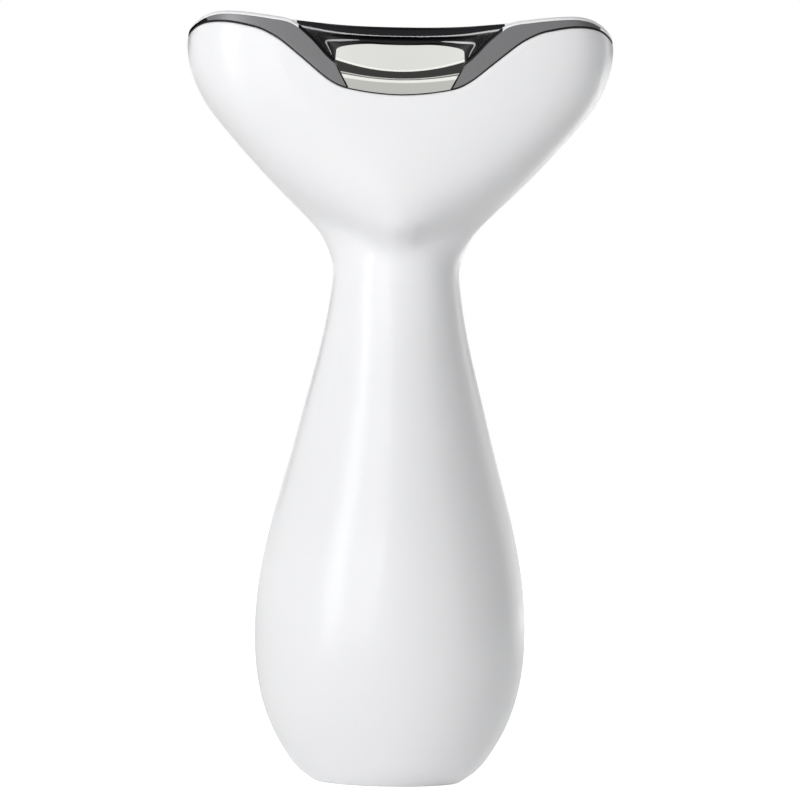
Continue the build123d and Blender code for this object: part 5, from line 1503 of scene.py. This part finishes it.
@dataclass
class Studio:
    """White room, pale floor, soft lamps and the camera."""

    camera_place: Place = (1.3, -900.0, 82.2)
    roll: float = -1.04
    lens: float = 187.6
    sensor: float = 36.0
    view_end: float = 20.0
    aim: Place = (0.0, 0.0, 90.0)
    floor_side: float = 6000.0
    floor_seen: float = 0.7
    floor_mirrored: float = 0.26
    floor_falling: float = 0.05
    around: float = 0.2
    around_colour: Place = (0.98, 0.99, 1.0)
    lamps: tuple[Lamp, ...] = (
        Lamp("broad", (-430.0, -1590.0, 470.0), (900.0, 900.0), 14.4),
        Lamp("streak", (-560.0, -520.0, 220.0), (180.0, 620.0), 1.2, mirrored=True),
        Lamp("left", (-1400.0, 550.0, 150.0), (800.0, 800.0), 6.2),
        Lamp("back", (900.0, 1300.0, 200.0), (800.0, 800.0), 24.0),
        Lamp("low", (-280.0, -800.0, 15.0), (500.0, 500.0), 0.3),
    )
    cards: tuple[Card, ...] = (
        Card("back_strip", (-0.8, 0.463, 0.76), (1.6, 0.0, 0.0), (0.0, 0.25, 0.0), 1.3),
        Card("dark_card", (-0.8, 0.045, 0.76), (1.6, 0.0, 0.0), (0.0, 0.418, 0.0), 0.07),
        Card("light_line", (-0.8, 0.013, 0.76), (1.6, 0.0, 0.0), (0.0, 0.032, 0.0), 0.9),
        Card("dark_line", (-0.8, -0.019, 0.76), (1.6, 0.0, 0.0), (0.0, 0.032, 0.0), 0.15),
        Card("front_strip", (-0.8, -0.12, 0.76), (1.6, 0.0, 0.0), (0.0, 0.101, 0.0), 1.3),
        Card("front_card", (-0.8, -1.06, 0.76), (1.6, 0.0, 0.0), (0.0, 0.94, 0.0), 0.78),
        Card("back_card", (-0.8, 1.0, 0.2), (1.6, 0.0, 0.0), (0.0, 0.0, 0.4), 0.05),
        Card("right_flag", (0.82, -0.5, 0.0), (0.0, 1.0, 0.0), (0.0, 0.0, 0.7), 0.3),
    )

    def seen(self, tree: bpy.types.NodeTree) -> bpy.types.NodeSocket:
        """A value of one for what the camera, mirrors and glass see, and zero for falling light.

        Args:
            tree: the nodes to add it to.

        Returns:
            The value's socket.
        """
        path = tree.nodes.new("ShaderNodeLightPath")
        first, second = tree.nodes.new("ShaderNodeMath"), tree.nodes.new("ShaderNodeMath")
        for node in (first, second):
            node.operation, node.use_clamp = "ADD", True
        tree.links.new(path.outputs["Is Camera Ray"], first.inputs[0])
        tree.links.new(path.outputs["Is Glossy Ray"], first.inputs[1])
        tree.links.new(first.outputs[0], second.inputs[0])
        tree.links.new(path.outputs["Is Transmission Ray"], second.inputs[1])
        return second.outputs[0]

    def world(self) -> None:
        """White where the camera and reflections look, softer for the light that falls."""
        world = bpy.data.worlds.new("studio_room")
        bpy.context.scene.world = world
        world.use_nodes = True
        nodes, links = world.node_tree.nodes, world.node_tree.links
        nodes.clear()
        soft, white = nodes.new("ShaderNodeBackground"), nodes.new("ShaderNodeBackground")
        soft.inputs["Color"].default_value = (*self.around_colour, 1)
        soft.inputs["Strength"].default_value = self.around
        white.inputs["Color"].default_value = (1, 1, 1, 1)
        white.inputs["Strength"].default_value = 1.0
        mix, out = nodes.new("ShaderNodeMixShader"), nodes.new("ShaderNodeOutputWorld")
        links.new(self.seen(world.node_tree), mix.inputs["Fac"])
        links.new(soft.outputs[0], mix.inputs[1])
        links.new(white.outputs[0], mix.inputs[2])
        links.new(mix.outputs[0], out.inputs["Surface"])

    def floor(self) -> None:
        """A wide pale floor that shines by itself.

        The kind of ray sets how strongly: most for the camera, less for mirrors, and least for the
        light that falls on the device, so that the background is white and undersides stay shaded.
        """
        side = self.floor_side / 2 * MM
        mesh = bpy.data.meshes.new("studio_floor")
        corners = [(-side, -side, 0), (side, -side, 0), (side, side, 0), (-side, side, 0)]
        mesh.from_pydata(corners, [], [(0, 1, 2, 3)])
        mesh.materials.append(PALE_FLOOR.build())
        tree = mesh.materials[0].node_tree
        path = tree.nodes.new("ShaderNodeLightPath")
        mirrored, glow = tree.nodes.new("ShaderNodeMath"), tree.nodes.new("ShaderNodeMath")
        for node, ray, share in ((mirrored, "Is Glossy Ray", self.floor_mirrored),
                                 (glow, "Is Camera Ray", self.floor_seen)):
            node.operation, node.inputs[1].default_value = "MULTIPLY_ADD", share
            tree.links.new(path.outputs[ray], node.inputs[0])
        mirrored.inputs[2].default_value = self.floor_falling
        tree.links.new(mirrored.outputs[0], glow.inputs[2])
        shader = next(node for node in tree.nodes if node.type == "BSDF_PRINCIPLED")
        tree.links.new(glow.outputs[0], shader.inputs["Emission Strength"])
        floor = bpy.data.objects.new("studio_floor", mesh)
        bpy.context.scene.collection.objects.link(floor)

    def hang(self, card: Card) -> None:
        """Hang a card that is seen only in reflections.

        Args:
            card: the card.
        """
        mesh = bpy.data.meshes.new(card.name)
        first, one, two = (Vector(place) for place in (card.corner, card.wide, card.deep))
        mesh.from_pydata([first, first + one, first + one + two, first + two], [], [(0, 1, 2, 3)])
        material = bpy.data.materials.new(card.name)
        material.use_nodes = True
        nodes, links = material.node_tree.nodes, material.node_tree.links
        nodes.clear()
        shine, out = nodes.new("ShaderNodeEmission"), nodes.new("ShaderNodeOutputMaterial")
        shine.inputs["Strength"].default_value = card.glow
        links.new(shine.outputs[0], out.inputs["Surface"])
        mesh.materials.append(material)
        made = bpy.data.objects.new(card.name, mesh)
        bpy.context.scene.collection.objects.link(made)
        made.visible_camera = made.visible_diffuse = made.visible_shadow = made.visible_transmission = False

    def lights(self) -> None:
        """Soft square lamps, each aimed at the middle of the handle."""
        for lamp in self.lamps:
            data = bpy.data.lights.new(lamp.name + "_lamp", "AREA")
            data.shape, data.energy = "RECTANGLE", lamp.power
            data.size, data.size_y = (side * MM for side in lamp.size)
            made = bpy.data.objects.new(lamp.name + "_lamp", data)
            made.location = Vector(lamp.place) * MM
            way = Vector(self.aim) * MM - made.location
            made.rotation_euler = way.to_track_quat("-Z", "Y").to_euler()
            made.visible_glossy = lamp.mirrored
            bpy.context.scene.collection.objects.link(made)

    def camera(self) -> None:
        """The camera, level, with the small turn about its own line of sight."""
        data = bpy.data.cameras.new("view")
        data.lens, data.sensor_width, data.clip_end = self.lens, self.sensor, self.view_end
        camera = bpy.data.objects.new("view", data)
        camera.location = [v * MM for v in self.camera_place]
        camera.rotation_euler = (np.radians(90), np.radians(self.roll), 0)
        bpy.context.scene.collection.objects.link(camera)
        bpy.context.scene.camera = camera

    def build(self) -> None:
        """Set up the room."""
        bpy.context.scene.view_settings.view_transform = "Standard"
        self.world()
        self.floor()
        for card in self.cards:
            self.hang(card)
        self.lights()
        self.camera()


def main() -> None:
    """Build every piece in order."""
    logging.basicConfig(level=logging.INFO, format="%(name)s: %(message)s")
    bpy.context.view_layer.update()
    for part in (Studio(), Handle(), HeadRim(), Saddle(), ContactPlate(), PowerButton(), Interior()):
        LOG.info("building %s", type(part).__name__)
        part.build()


if __name__ == "__main__":
    main()
